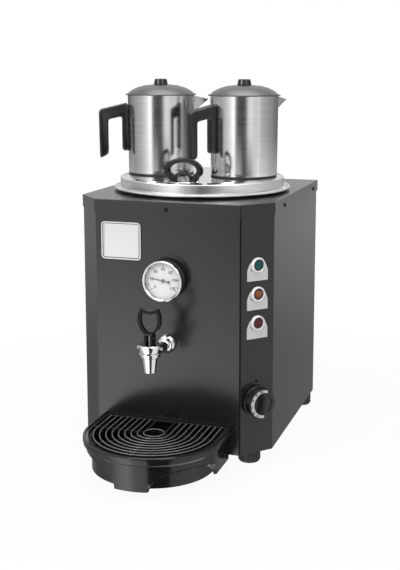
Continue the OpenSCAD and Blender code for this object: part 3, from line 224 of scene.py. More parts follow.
cloth_links.new(cloth_place.outputs["Object"], cloth_parts.inputs["Vector"])
ahead = join_math(cloth_tree, "MULTIPLY", cloth_parts.outputs["Y"], -1.0)
from_front = join_math(cloth_tree, "ARCTAN2", cloth_parts.outputs["X"], ahead)
turn = join_math(cloth_tree, "SUBTRACT", from_front, CAMERA_AZIMUTH)
rounds = join_math(cloth_tree, "DIVIDE", turn, 2 * math.pi)
share = join_math(cloth_tree, "FRACT", join_math(cloth_tree, "ADD", rounds, 1.5))


def between(given, start, stop):
    """0 to 1 as a value goes from start to stop."""
    made = cloth_nodes.new("ShaderNodeMapRange")
    made.inputs["From Min"].default_value, made.inputs["From Max"].default_value = start, stop
    cloth_links.new(given, made.inputs["Value"])
    return made.outputs["Result"]


def round_the_ring(screens):
    """Brightness round the ring: a colour ramp over one turn, with a stop for each listed pair."""
    made = cloth_nodes.new("ShaderNodeValToRGB")
    steps = made.color_ramp.elements
    for at, bright in screens[1:-1]:
        steps.new((at + 180.0) / 360.0)
    for step, (at, bright) in zip(steps, screens):
        step.position = (at + 180.0) / 360.0
        step.color = (bright, bright, bright, 1.0)
    cloth_links.new(share, made.inputs["Fac"])
    return made.outputs["Color"]


def over(mask, below, above):
    """One brightness laid over another by a mask."""
    made = cloth_nodes.new("ShaderNodeMix")
    made.data_type = "RGBA"
    cloth_links.new(mask, made.inputs["Factor"])
    cloth_links.new(below, made.inputs["A"])
    if isinstance(above, float):
        made.inputs["B"].default_value = (above, above, above, 1.0)
    else:
        cloth_links.new(above, made.inputs["B"])
    return made.outputs["Result"]


# heights in metres over which one list of screens gives way to the next one below it, and over
# which the plain backdrop starts behind the urn
HIGH_GIVES_WAY, LOW_GIVES_WAY, BACKDROP_STARTS = (0.3, 0.05), (-0.05, -0.6), (0.5, 0.65)
height = cloth_parts.outputs["Z"]
behind = between(join_math(cloth_tree, "COSINE", turn), -0.45, -0.75)
seen_cloth = over(between(height, *HIGH_GIVES_WAY), round_the_ring(SCREENS_HIGH),
                  round_the_ring(SCREENS_LOW))
seen_cloth = over(between(height, *LOW_GIVES_WAY), seen_cloth, round_the_ring(SCREENS_LOWEST))
backdrop_shows = join_math(cloth_tree, "MULTIPLY", behind, between(height, *BACKDROP_STARTS))
seen_cloth = over(backdrop_shows, seen_cloth, BACKDROP)
shine = cloth_nodes.new("ShaderNodeEmission")
shine.inputs["Strength"].default_value = SCREEN_STRENGTH
cloth_links.new(seen_cloth, shine.inputs["Color"])
cloth_links.new(shine.outputs[0], cloth_nodes["Material Output"].inputs["Surface"])
screen.data.materials.append(cloth)
screen.visible_camera = False
screen.visible_shadow = False


# ---- Powder coated casing --------------------------------------------------------------------
# Folded steel sheets with a satin black powder coat: fine orange peel, a little uneven in gloss.
# The screws that hold them are blackened.
def make_patina():
    """Shader group: slow clouds and fine specks over a surface, from Object coordinates.
    Cloud is noise of size 1/Scale, Value is the same noise between Low and High, and Peel is a
    finer noise for a Bump's Height."""
    group = bpy.data.node_groups.new("patina", "ShaderNodeTree")
    face = group.interface
    face.new_socket("Scale", in_out="INPUT", socket_type="NodeSocketFloat").default_value = 8.0
    face.new_socket("Low", in_out="INPUT", socket_type="NodeSocketFloat").default_value = 0.3
    face.new_socket("High", in_out="INPUT", socket_type="NodeSocketFloat").default_value = 0.5
    face.new_socket("Peel Scale", in_out="INPUT", socket_type="NodeSocketFloat").default_value = 900.0
    face.new_socket("Cloud", in_out="OUTPUT", socket_type="NodeSocketFloat")
    face.new_socket("Value", in_out="OUTPUT", socket_type="NodeSocketFloat")
    face.new_socket("Peel", in_out="OUTPUT", socket_type="NodeSocketFloat")
    nodes, links = group.nodes, group.links
    given, result = nodes.new("NodeGroupInput"), nodes.new("NodeGroupOutput")
    place = nodes.new("ShaderNodeTexCoord")
    cloud, peel = nodes.new("ShaderNodeTexNoise"), nodes.new("ShaderNodeTexNoise")
    cloud.inputs["Detail"].default_value = 4.0
    peel.inputs["Detail"].default_value = 2.0
    spread = nodes.new("ShaderNodeMapRange")
    spread.inputs["From Min"].default_value = 0.1
    spread.inputs["From Max"].default_value = 0.9
    links.new(place.outputs["Object"], cloud.inputs["Vector"])
    links.new(place.outputs["Object"], peel.inputs["Vector"])
    links.new(given.outputs["Scale"], cloud.inputs["Scale"])
    links.new(given.outputs["Peel Scale"], peel.inputs["Scale"])
    links.new(cloud.outputs["Fac"], spread.inputs["Value"])
    links.new(given.outputs["Low"], spread.inputs["To Min"])
    links.new(given.outputs["High"], spread.inputs["To Max"])
    links.new(cloud.outputs["Fac"], result.inputs["Cloud"])
    links.new(spread.outputs["Result"], result.inputs["Value"])
    links.new(peel.outputs["Fac"], result.inputs["Peel"])
    return group


patina = make_patina()


def coated(name, dark, light, rough, peel_scale, peel_height, cloud_scale=6.0, metallic=0.0, coat=0.0,
           gleam=0.5):
    """A painted or moulded surface: its colour wanders between dark and light and its roughness
    between rough[0] and rough[1], with a fine peel bumped peel_height metres deep."""
    made, nodes, links, shader = node_setup(name)
    worn = nodes.new("ShaderNodeGroup")
    worn.node_tree = patina
    worn.inputs["Scale"].default_value = cloud_scale
    worn.inputs["Low"].default_value, worn.inputs["High"].default_value = rough
    worn.inputs["Peel Scale"].default_value = peel_scale
    tint = nodes.new("ShaderNodeMix")
    tint.data_type = "RGBA"
    tint.inputs["A"].default_value = (*dark, 1.0)
    tint.inputs["B"].default_value = (*light, 1.0)
    bump = nodes.new("ShaderNodeBump")
    bump.inputs["Distance"].default_value = peel_height
    bump.inputs["Strength"].default_value = 0.6
    links.new(worn.outputs["Cloud"], tint.inputs["Factor"])
    links.new(tint.outputs["Result"], shader.inputs["Base Color"])
    links.new(worn.outputs["Value"], shader.inputs["Roughness"])
    links.new(worn.outputs["Peel"], bump.inputs["Height"])
    links.new(bump.outputs["Normal"], shader.inputs["Normal"])
    shader.inputs["Metallic"].default_value = metallic
    shader.inputs["Coat Weight"].default_value = coat
    shader.inputs["Specular IOR Level"].default_value = gleam
    return made


def dress(material, *names):
    """Gives CAD nodes one material."""
    for name in names:
        piece = node[name]
        piece.data.materials.clear()
        piece.data.materials.append(material)


powder_coat = coated("black_powder_coat", (0.010, 0.010, 0.0104), (0.013, 0.013, 0.0134), (0.19, 0.23),
                     1400.0, 0.00002)
dress(powder_coat, "front_shell", "control_shell", "back_panel", "top_cover")
screw_black = coated("blackened_screw", (0.006, 0.006, 0.006), (0.01, 0.01, 0.01), (0.3, 0.45),
                     2500.0, 0.00003, gleam=0.2)
dress(screw_black, "cover_screws", "back_screws")

# ---- Sheet underneath ------------------------------------------------------------------------
# The base plate with its folded flange and the tank's stand are galvanised steel sheet. The lamps'
# nuts and the tray's hooks are zinc plated and look alike.
zinc = coated("zinc_sheet", (0.42, 0.43, 0.45), (0.58, 0.59, 0.60), (0.3, 0.5), 500.0, 0.00004, 60.0, 1.0)
dress(zinc, "base_plate", "tank_stand", "lamp_nuts", "tray_hooks")

# ---- Feet ------------------------------------------------------------------------------------
# Black moulded star knobs, matt from the mould, whose threaded studs turn in bosses of the base
# plate. The cord's gland, the cut-out's case and the lamps' barrels are of the same plastic.
foot_plastic = coated("foot_plastic", (0.018, 0.018, 0.018), (0.028, 0.028, 0.028), (0.45, 0.6),
                      900.0, 0.00008)
dress(foot_plastic, "foot_front_left", "foot_front_right", "foot_rear_left", "foot_rear_right",
      "cable_gland", "safety_cutout", "lamp_bodies")


# ---- Stainless steel -------------------------------------------------------------------------
# The tank, the drip ring, the loose lid and the teapots are stainless steel. Turned pieces are
# brushed round their axis, so their grain runs level round the wall.
def make_grain():
    """Shader group: the fine scratches of a brush that ran at right angles to one axis.
    Object coordinates are squeezed along the brush, so the noise there is drawn out long. Rough
    is that noise between Low and High, Streak is it between 0 and 1, and Line is it as it comes."""
    group = bpy.data.node_groups.new("brushed_grain", "ShaderNodeTree")
    face = group.interface
    stretch = face.new_socket("Stretch", in_out="INPUT", socket_type="NodeSocketVector")
    stretch.default_value = (6.0, 6.0, 1800.0)
    face.new_socket("Low", in_out="INPUT", socket_type="NodeSocketFloat").default_value = 0.2
    face.new_socket("High", in_out="INPUT", socket_type="NodeSocketFloat").default_value = 0.34
    face.new_socket("Rough", in_out="OUTPUT", socket_type="NodeSocketFloat")
    face.new_socket("Line", in_out="OUTPUT", socket_type="NodeSocketFloat")
    face.new_socket("Streak", in_out="OUTPUT", socket_type="NodeSocketFloat")
    nodes, links = group.nodes, group.links
    given, result = nodes.new("NodeGroupInput"), nodes.new("NodeGroupOutput")
    place, squeeze = nodes.new("ShaderNodeTexCoord"), nodes.new("ShaderNodeMapping")
    lines = nodes.new("ShaderNodeTexNoise")
    lines.inputs["Scale"].default_value = 1.0
    lines.inputs["Detail"].default_value = 3.0
    spread = nodes.new("ShaderNodeMapRange")
    spread.inputs["From Min"].default_value = 0.35
    spread.inputs["From Max"].default_value = 0.65
    links.new(place.outputs["Object"], squeeze.inputs["Vector"])
    links.new(given.outputs["Stretch"], squeeze.inputs["Scale"])
    links.new(squeeze.outputs["Vector"], lines.inputs["Vector"])
    links.new(lines.outputs["Fac"], spread.inputs["Value"])
    links.new(given.outputs["Low"], spread.inputs["To Min"])
    links.new(given.outputs["High"], spread.inputs["To Max"])
    links.new(spread.outputs["Result"], result.inputs["Rough"])
    links.new(lines.outputs["Fac"], result.inputs["Line"])
    streak = nodes.new("ShaderNodeMapRange")
    streak.inputs["From Min"].default_value = 0.3
    streak.inputs["From Max"].default_value = 0.7
    links.new(lines.outputs["Fac"], streak.inputs["Value"])
    links.new(streak.outputs["Result"], result.inputs["Streak"])
    return group


grain = make_grain()


def brushed(name, colour, rough, stretch=(6.0, 6.0, 3600.0), depth=0.000004, along=0.0, streaks=0.0):
    """Brushed metal of one colour, with the grain group's lines in its roughness and its bump.
    along is the shader's anisotropy: the share by which gloss is drawn out across the brush.
    streaks is the share by which the deepest scratches are darker than the rest."""
    made, nodes, links, shader = node_setup(name)
    lined = nodes.new("ShaderNodeGroup")
    lined.node_tree = grain
    lined.inputs["Stretch"].default_value = stretch
    lined.inputs["Low"].default_value, lined.inputs["High"].default_value = rough
    bump = nodes.new("ShaderNodeBump")
    bump.inputs["Distance"].default_value = depth
    bump.inputs["Strength"].default_value = 0.5
    links.new(lined.outputs["Rough"], shader.inputs["Roughness"])
    links.new(lined.outputs["Line"], bump.inputs["Height"])
    links.new(bump.outputs["Normal"], shader.inputs["Normal"])
    shader.inputs["Base Color"].default_value = (*colour, 1.0)
    if streaks:
        tone = nodes.new("ShaderNodeMix")
        tone.data_type = "RGBA"
        tone.inputs["A"].default_value = (*[c * (1.0 - streaks) for c in colour], 1.0)
        tone.inputs["B"].default_value = (*colour, 1.0)
        links.new(lined.outputs["Streak"], tone.inputs["Factor"])
        links.new(tone.outputs["Result"], shader.inputs["Base Color"])
    shader.inputs["Metallic"].default_value = 1.0
    shader.inputs["Anisotropic"].default_value = along
    return made


tank_steel = brushed("tank_steel", (0.66, 0.66, 0.66), (0.25, 0.4))
dress(tank_steel, "tank")
band_steel = brushed("band_steel", (0.84, 0.84, 0.84), (0.22, 0.28), (7.0, 7.0, 900.0),
                     along=0.85, streaks=0.12)
dress(band_steel, "tank_ring")
pot_steel = brushed("teapot_steel", (0.79, 0.79, 0.79), (0.11, 0.15), (16.0, 16.0, 850.0),
                    along=0.97, streaks=0.13)
dress(pot_steel, "pot_left", "pot_right")
dark_lid = brushed("teapot_lid_steel", (0.14, 0.14, 0.14), (0.3, 0.36), (1200.0, 1200.0, 1200.0))
dress(dark_lid, "pot_left_lid", "pot_right_lid")

# the lid's plate is polished like a mirror, and its band is brushed: the height tells them apart
PLATE_FLOOR, PLATE_TOP = 0.4432, 0.4442
BAND_ROUGH, PLATE_ROUGH = 0.24, 0.07
lid_steel, lid_nodes, lid_links, lid_shader = node_setup("polished_lid")
lid_place, lid_parts = lid_nodes.new("ShaderNodeTexCoord"), lid_nodes.new("ShaderNodeSeparateXYZ")
polish = lid_nodes.new("ShaderNodeMapRange")
polish.inputs["From Min"].default_value, polish.inputs["From Max"].default_value = PLATE_FLOOR, PLATE_TOP
polish.inputs["To Min"].default_value, polish.inputs["To Max"].default_value = BAND_ROUGH, PLATE_ROUGH
lid_links.new(lid_place.outputs["Object"], lid_parts.inputs["Vector"])
lid_links.new(lid_parts.outputs["Z"], polish.inputs["Value"])
lid_links.new(polish.outputs["Result"], lid_shader.inputs["Roughness"])
lid_shader.inputs["Base Color"].default_value = (0.80, 0.80, 0.80, 1.0)
lid_shader.inputs["Metallic"].default_value = 1.0
lid_shader.inputs["Anisotropic"].default_value = 0.6
dress(lid_steel, "main_lid", "fill_cap")
# the heating element's tube and the tap's spring are darker steel, and the tap's stem is given the same dark
# colour
dark_steel = brushed("heater_steel", (0.35, 0.35, 0.36), (0.3, 0.45))
dress(dark_steel, "heater_element", "tap_spring", "tap_stem")

# ---- Brass behind the panel ------------------------------------------------------------------
# Turned brass that nobody sees in use: the heater's flange, the thermometer's pocket and the tap's
# nuts. The thermostat's bulb shares its finish, and the thermostat's own body is ceramic.
brass = coated("brass", (0.50, 0.37, 0.16), (0.66, 0.50, 0.25), (0.25, 0.45), 300.0, 0.00003, 40.0, 1.0)
dress(brass, "heater_flange", "gauge_pocket", "tap_locknut", "thermostat_bulb")
ceramic = coated("ceramic", (0.68, 0.67, 0.62), (0.76, 0.75, 0.71), (0.5, 0.7), 400.0, 0.00006)
dress(ceramic, "thermostat_body")

# ---- Moulded handles and knobs ---------------------------------------------------------------
# The cap's and the teapots' handles, the lid knobs and the thermostat's knob are moulded in black
# plastic. The tap's soft washer and the thermometer's pointer are as black.
moulded_black = coated("moulded_black", (0.008, 0.008, 0.008), (0.012, 0.012, 0.012), (0.16, 0.24),
                       700.0, 0.00003)
dress(moulded_black, "fill_handle", "pot_left_handle", "pot_right_handle",
      "pot_left_knob", "pot_right_knob", "knob", "tap_seal", "gauge_pointer")


# ---- Teapot grips ----------------------------------------------------------------------------
# Each teapot has an angular black moulded grip: a pad screwed to the wall, an arm, and a hanging
# handle with tight rounded edges. It is swept between its back line and its front line.
def swept_piece(name, stacks, body, material, replaced=(), extra=()):
    """One closed mesh piece from stacks of rings, in millimetres.
    Each stack is (m, n, 3): its m rings of n points are joined by quads, and a fan from the
    middle of its first and its last ring closes it. A stack whose last ring repeats the first
    is a loop and gets no fans. extra holds (points, faces) that are added as they are."""
    points, faces, start = [], [], 0
    for stack in stacks:
        stack = np.asarray(stack, float)
        loop = np.allclose(stack[0], stack[-1])
        stack = stack[:-1] if loop else stack
        m, n = stack.shape[:2]
        i, j = [g.ravel() for g in np.meshgrid(np.arange(m if loop else m - 1), np.arange(n), indexing="ij")]
        up, k = (i + 1) % m, (j + 1) % n
        faces += (np.stack([i * n + j, i * n + k, up * n + k, up * n + j], 1) + start).tolist()
        points.append(stack.reshape(-1, 3))
        if not loop:
            j = np.arange(n)
            k = (j + 1) % n
            faces += (np.stack([0 * j + m * n, k, j], 1) + start).tolist()
            faces += (np.stack([0 * j + m * n + 1, (m - 1) * n + j, (m - 1) * n + k], 1) + start).tolist()
            points.append(stack[[0, -1]].mean(1))
        start += m * n + (0 if loop else 2)
    for given, sides in extra:
        points.append(np.asarray(given, float))
        faces += [[q + start for q in side] for side in sides]
        start += len(given)
    piece = sheet_mesh(name, np.concatenate(points) / 1000.0, faces)
    work = bmesh.new()
    work.from_mesh(piece.data)
    bmesh.ops.recalc_face_normals(work, faces=work.faces)
    work.to_mesh(piece.data)
    work.free()
    piece.data.shade_smooth()
    piece.data.set_sharp_from_angle(angle=math.radians(40))
    piece.data.materials.append(material)
    if replaced:
        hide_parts(*replaced)
    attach(piece, body)
    return piece


def bend(a, b, c, radius, parts):
    """Points of the arc of this radius that rounds the corner a-b-c: its centre lies on the
    corner's bisector, at radius over the sine of half the corner's angle."""
    a, b, c = (np.array(q, float) for q in (a, b, c))
    u, w = (a - b) / np.linalg.norm(a - b), (c - b) / np.linalg.norm(c - b)
    half = math.acos(float(u @ w)) / 2
    centre = b + (u + w) / np.linalg.norm(u + w) * radius / math.sin(half)
    first, last = (math.atan2(*(b + q * radius / math.tan(half) - centre)[::-1]) for q in (u, w))
    turned = (last - first + math.pi) % (2 * math.pi) - math.pi
    steps = first + turned * np.linspace(0, 1, parts + 1)
    return centre + radius * np.stack([np.cos(steps), np.sin(steps)], 1)


def bar(back, front, wide, square=0.4, sides=48):
    """Rings of a bar between two lines of the XZ plane: each ring is a superellipse whose one
    axis joins a back point to its front point and whose other is the half width along Y."""
    t = 2 * math.pi * (np.arange(sides) + 0.5) / sides
    along, across = (np.sign(f) * np.abs(f) ** square for f in (np.cos(t), np.sin(t)))
    middle, half = (back + front) / 2, (front - back) / 2
    flat = middle[:, None] + half[:, None] * along[None, :, None]
    return np.stack([flat[..., 0], wide[:, None] * across[None], flat[..., 1]], -1)


POT_FOOT_R, POT_MOUTH_R, POT_H = 56.2, 57.1, 134.4
GRIP_REACH, GRIP_T, GRIP_HALF = 107.0, 16.0, 9.0
grip_gloss = coated("grip_gloss", (0.008, 0.008, 0.008), (0.012, 0.012, 0.012), (0.12, 0.18), 700.0, 0.00002)
pad_in, pad_out, arm_z = POT_MOUTH_R - 1.0, POT_MOUTH_R + 10.3, POT_H - 12.0
grip_in, end_z = GRIP_REACH - GRIP_T, arm_z - 0.235 * (GRIP_REACH - POT_MOUTH_R + 2.0)
back = np.concatenate([
    [[pad_in, 39.4], [pad_in, 41], [pad_in, 44], [pad_in, 75]],
    bend((pad_in, 39), (pad_in, arm_z), (GRIP_REACH, end_z), 5.5, 12),
    bend((pad_in, arm_z), (GRIP_REACH, end_z), (GRIP_REACH - 0.9, 28), 7.0, 14),
    [[GRIP_REACH - 0.5, 60], [GRIP_REACH - 0.9, 36], [GRIP_REACH - 1.1, 29.6], [GRIP_REACH - 1.7, 28.2],
     [GRIP_REACH - 2.8, 27.8]]])
front = np.concatenate([
    [[pad_out - 3.2, 39.6], [pad_out - 0.9, 41.2], [pad_out, 44], [pad_out, 70]],
    bend((pad_out, 39), (pad_out, arm_z - 24.4), (grip_in, arm_z - 29.5), 3.5, 12),
    bend((pad_out, arm_z - 24.4), (grip_in, arm_z - 29.5), (grip_in - 0.4, 30), 4.5, 14),
    [[grip_in, 60], [grip_in - 0.2, 41], [grip_in + 0.6, 35.4], [grip_in + 1.6, 33.6], [grip_in + 3, 32.6]]])
# how much narrower than GRIP_HALF each ring is: drawn in at the pad's foot and at the free end
NARROWER = np.concatenate([[3, 1.4, 1, 1], np.full(13, 1.0), np.linspace(1, 0, 15), [0, 0, 0.5, 1.4, 2.8]])
grip = bar(back, front, GRIP_HALF - NARROWER)
# the pad's inner face follows the round wall, PAD_GAP clear of it
PAD_GAP = 0.08
wall = POT_FOOT_R + (POT_MOUTH_R - POT_FOOT_R) * grip[..., 2] / POT_H + PAD_GAP
grip[..., 0] = np.maximum(grip[..., 0], np.sqrt(wall ** 2 - grip[..., 1] ** 2))
# (x, y, degrees that the grip points to), and the height that the pots stand at
POT_PLACES = {"left": (-77.7, 9.0, 206.0), "right": (71.5, 9.0, 225.0)}
POT_Z = 444.95
for side, (pot_x, pot_y, turned) in POT_PLACES.items():
    c, d = math.cos(math.radians(turned)), math.sin(math.radians(turned))
    placed = np.stack([pot_x + c * grip[..., 0] - d * grip[..., 1],
                       pot_y + d * grip[..., 0] + c * grip[..., 1], POT_Z + grip[..., 2]], -1)
    swept_piece(f"pot_{side}_grip", [placed], f"pot_{side}_body", grip_gloss,
                (f"pot_{side}_handle",))


# ---- Teapot shadow rings ---------------------------------------------------------------------
# Where the bottom of each steel teapot meets its wall, a thin dark ring is painted shadow, the
# shade in the gap where the teapot's foot stands on the lid. A dark ring round the edge of each
# teapot's lid is painted shadow of the gap under the lid's rim.
def turned_profile(profile, steps):
    """A closed profile of (radius, height) points carried once round the upright axis: the ring
    at turn t holds (r cos t, r sin t, h) for each point, and the last ring repeats the first."""
    t = np.linspace(0, 2 * math.pi, steps)[:, None]
    r, h = np.asarray(profile, float).T[:, None]
    return np.stack([r * np.cos(t), r * np.sin(t), h + 0 * t], -1)


POT_STEPS = 121
FOOT_SHADOW_RING = [(55.0, 0.1), (55.9, 0.5), (56.45, 1.7), (56.5, 2.7), (56.0, 2.7), (55.4, 0.9)]
LID_SHADOW_R, LID_SHADOW_Z, LID_SHADOW_HALF_WIDE, LID_SHADOW_HALF_HIGH = 60.5, 580.3, 0.45, 0.85
# black for the rings of painted shadow at each teapot's foot and under each lid's rim
painted_shadow_black = coated("painted_shadow_black", (0.012, 0.012, 0.012), (0.02, 0.02, 0.02), (0.4, 0.55), 900.0, 0.00002)
for side, (pot_x, pot_y, _) in POT_PLACES.items():
    foot_shadow = turned_profile(FOOT_SHADOW_RING, POT_STEPS) + (pot_x, pot_y, POT_Z)
    swept_piece(f"pot_{side}_seam", [foot_shadow], f"pot_{side}_body", painted_shadow_black)
# the ring under each lid's rim is painted shadow of the gap there
lid_shadow_section = circle(1.0, 16) * (LID_SHADOW_HALF_WIDE, LID_SHADOW_HALF_HIGH) + (LID_SHADOW_R, LID_SHADOW_Z)
for side, (pot_x, pot_y, _) in POT_PLACES.items():
    lid_shadow = turned_profile(lid_shadow_section, POT_STEPS) + (pot_x, pot_y, 0)
    swept_piece(f"pot_{side}_bead", [lid_shadow], f"pot_{side}_lid_body", painted_shadow_black)


# ---- Filling cap's grip ----------------------------------------------------------------------
# A gloss black moulded loop over a small arch. The cap has a screw between the handle's feet and
# a stud into each foot.
def oval(half_wide, half_high, middle_z, first, last, count):
    """Points (half_wide cos a, middle_z + half_high sin a) as a goes from first to last degrees."""
    a = np.radians(np.linspace(first, last, count))
    return np.stack([half_wide * np.cos(a), middle_z + half_high * np.sin(a)], 1)


CAP_GRIP_PLACE = (3.0, -106.0, 446.6)
LOOP_HALF, ARCH_HALF, CAP_GRIP_SQUARE = 4.75, 4.4, 0.6
cap_gloss = coated("cap_gloss", (0.006, 0.006, 0.006), (0.009, 0.009, 0.009), (0.1, 0.16), 700.0, 0.00002,
                   gleam=0.3)
out_foot = np.array([(25, 0.05), (25.2, 2), (27.5, 5.5)])
in_foot = np.array([(12.5, 0.05), (13.2, 3), (16.0, 8.6)])
loop_out = np.concatenate([out_foot, oval(33, 21, 16, -18, 198, 55), out_foot[::-1] * (-1, 1)])
loop_in = np.concatenate([in_foot, oval(22.5, 12, 16.6, -18, 198, 55), in_foot[::-1] * (-1, 1)])
arch_out, arch_in = oval(15.4, 15.4, 0.05, 0, 180, 33), oval(10.8, 10.8, 0.05, 0, 180, 33)
loops = [bar(loop_out, loop_in, np.full(len(loop_out), LOOP_HALF), CAP_GRIP_SQUARE) + CAP_GRIP_PLACE,
         bar(arch_out, arch_in, np.full(len(arch_out), ARCH_HALF), CAP_GRIP_SQUARE) + CAP_GRIP_PLACE]
swept_piece("fill_grip", loops, "fill_cap_body", cap_gloss, ("fill_handle",))

# ---- Drip tray -------------------------------------------------------------------------------
# A gloss black moulded bowl that hangs on two hooks, and its lift-out grille. The grille's ribs
# are moulded with half round crests, which catch the light as thin lines, and the crests are
# coloured a lighter grey than the black grille as a painted highlight.
TRAY_Y, SLOT_BACK, SLOT_R, HUB_R, RIB_PITCH, RIB_W = -242.0, -188.2, 101.5, 16.0, 9.7, 2.1
GRILLE_TOP, CREST_FOOT, CREST_HIGH, RIB_CLEAR = 67.5, 0.02, 1.0, 2.2
tray_black = coated("tray_black", (0.007, 0.007, 0.0075), (0.010, 0.010, 0.0105), (0.07, 0.11),
                    500.0, 0.00001)
dress(tray_black, "tray_bowl")
grille_black = coated("grille_black", (0.010, 0.010, 0.0105), (0.014, 0.014, 0.0145), (0.08, 0.14),
                      500.0, 0.00001, coat=0.6)
dress(grille_black, "tray_grille")
# the crests' lighter grey is a painted highlight on the grille's black plastic
crest_painted_highlight = coated("crest_painted_highlight", (0.10, 0.10, 0.10), (0.14, 0.14, 0.14), (0.22, 0.3), 500.0, 0.00001)
# each crest is a half round carried along its rib, which is a half circle of radius r with a
# straight leg back at each end, or a whole circle for the hub
crest = np.radians(np.linspace(0, 180, 9))
crest_wide, crest_high = RIB_W / 2 * np.cos(crest), CREST_FOOT + CREST_HIGH * np.sin(crest)
ribs = []
for r in np.arange(HUB_R, SLOT_R - RIB_CLEAR, RIB_PITCH):
    first, steps = (0, 73) if r == HUB_R else (180, 61)
    a = np.radians(np.linspace(first, 360, steps))
    out = np.stack([np.cos(a), np.sin(a)], 1)
    path = np.array([0, TRAY_Y]) + r * out
    if r != HUB_R:
        path = np.concatenate([[[-r, SLOT_BACK]], path, [[r, SLOT_BACK]]])
        out = np.concatenate([[[-1, 0]], out, [[1, 0]]])
    flat = path[:, None] + out[:, None] * crest_wide[None, :, None]
    crest_z = np.broadcast_to(GRILLE_TOP + crest_high[None, :, None], (len(path), len(crest), 1))
    ribs.append(np.concatenate([flat, crest_z], -1))
swept_piece("grille_crests", ribs, "grille_body", crest_painted_highlight)

# ---- Thermometer -----------------------------------------------------------------------------
# A dark case with a steel bezel and a clear glass over a white dial, which is printed in black ink
# behind the pointer. Its threaded neck and sensing stem sit in the brass pocket.
FRONT_Y, GAUGE_Z = -180.0, 299.0
INK_LOW, INK_HIGH = 16.22, 16.28
# marks run clockwise from FIRST_MARK in degrees, and every LONG_EVERY-th is long and numbered
FIRST_MARK, MARK_STEP, MARKS, LONG_EVERY = 216.0, 8.4, 31, 5
MARK_OUT, LONG_IN, SHORT_IN, LONG_HALF, SHORT_HALF = 26.2, 21.6, 24.2, 0.6, 0.22
STOP_DOTS, STOP_DOT_R, STOP_DOT_REACH = (195.0, -22.0), 1.2, 26.0
DIAL_NUMBER, DIAL_BOLD, NUMBER_REACH, ZERO_REACH = 6.8, 0.16, 18.6, 17.0
case_grey = coated("gauge_case", (0.05, 0.05, 0.052), (0.07, 0.07, 0.072), (0.3, 0.42), 900.0, 0.00004)
dress(case_grey, "gauge_case")
bezel_steel = brushed("bezel_steel", (0.60, 0.60, 0.61), (0.14, 0.2), (60.0, 60.0, 60.0), 0.000003)
dress(bezel_steel, "gauge_bezel")
dial_white = coated("dial_white", (0.80, 0.80, 0.79), (0.86, 0.86, 0.85), (0.4, 0.5), 600.0, 0.00001)
dress(dial_white, "gauge_dial")
glass, *_, pane = node_setup("clear_glass")
pane.inputs["Base Color"].default_value = (0.98, 0.99, 0.99, 1.0)
pane.inputs["Roughness"].default_value = 0.02
pane.inputs["IOR"].default_value = 1.45
pane.inputs["Alpha"].default_value = 0.1
dress(glass, "gauge_glass")
# black ink for the printed dial and knob, whose black is also the painted shadow in the panel's lap and the
# painted shade in the name plate's groove
ink_and_painted_shade = coated("black_ink_and_painted_shade", (0.006, 0.006, 0.006), (0.009, 0.009, 0.009), (0.5, 0.6), 900.0, 0.00001,
             gleam=0.05)


def on_front(points, x, z):
    """Local right, up and out of the front panel into the model's axes."""
    points = np.asarray(points, float)
    return np.stack([x + points[..., 0], FRONT_Y - points[..., 2], z + points[..., 1]], -1)


def turned_by(points, degrees):
    """Local points turned to the left about the local outward axis: x cos - y sin, x sin + y cos."""
    c, d = math.cos(math.radians(degrees)), math.sin(math.radians(degrees))
    x, y, out = np.moveaxis(np.asarray(points, float), -1, 0)
    return np.stack([c * x - d * y, d * x + c * y, out], -1)


def slab(outline, low, high):
    """Stack of two rings that makes a flat outline a plate from low to high."""
    outline = np.asarray(outline, float)
    return np.stack([np.column_stack([outline, np.full(len(outline), z)]) for z in (low, high)])


def number(word, size, low, high, bold):
    """Points and faces of a printed number, centred on the origin, from low to high."""
    curve = bpy.data.curves.new("number", "FONT")
    curve.body, curve.size, curve.extrude, curve.offset = word, size, (high - low) / 2, bold
    curve.align_x, curve.align_y, curve.resolution_u = "CENTER", "CENTER", 3
    holder = bpy.data.objects.new("number", curve)
    mesh = bpy.data.meshes.new_from_object(holder)
    points = np.empty(len(mesh.vertices) * 3)
    mesh.vertices.foreach_get("co", points)
    faces = [list(side.vertices) for side in mesh.polygons]
    bpy.data.objects.remove(holder)
    bpy.data.curves.remove(curve)
    bpy.data.meshes.remove(mesh)
    return points.reshape(-1, 3) + (0, 0, (low + high) / 2), faces


marks, numbers = [], []
for step in range(MARKS):
    near, half = (LONG_IN, LONG_HALF) if step % LONG_EVERY == 0 else (SHORT_IN, SHORT_HALF)
    tick = slab([(near, -half), (MARK_OUT, -half), (MARK_OUT, half), (near, half)], INK_LOW, INK_HIGH)
    marks.append(on_front(turned_by(tick, FIRST_MARK - MARK_STEP * step), 0.0, GAUGE_Z))
for angle in np.radians(STOP_DOTS):
    middle = STOP_DOT_REACH * np.array([math.cos(angle), math.sin(angle)])
    dot = slab(circle(STOP_DOT_R, 24) + middle, INK_LOW, INK_HIGH)
    marks.append(on_front(dot, 0.0, GAUGE_Z))
for step, word in enumerate(("0", "20", "40", "60", "80", "100", "120")):
    angle = math.radians(FIRST_MARK - LONG_EVERY * MARK_STEP * step)
    far = ZERO_REACH if word == "0" else NUMBER_REACH
    points, faces = number(word, DIAL_NUMBER, INK_LOW, INK_HIGH, DIAL_BOLD)
    points = points + (far * math.cos(angle), far * math.sin(angle), 0)
    numbers.append((on_front(points, 0.0, GAUGE_Z), faces))
swept_piece("dial_print", marks, "casing_body", ink_and_painted_shade, extra=numbers)

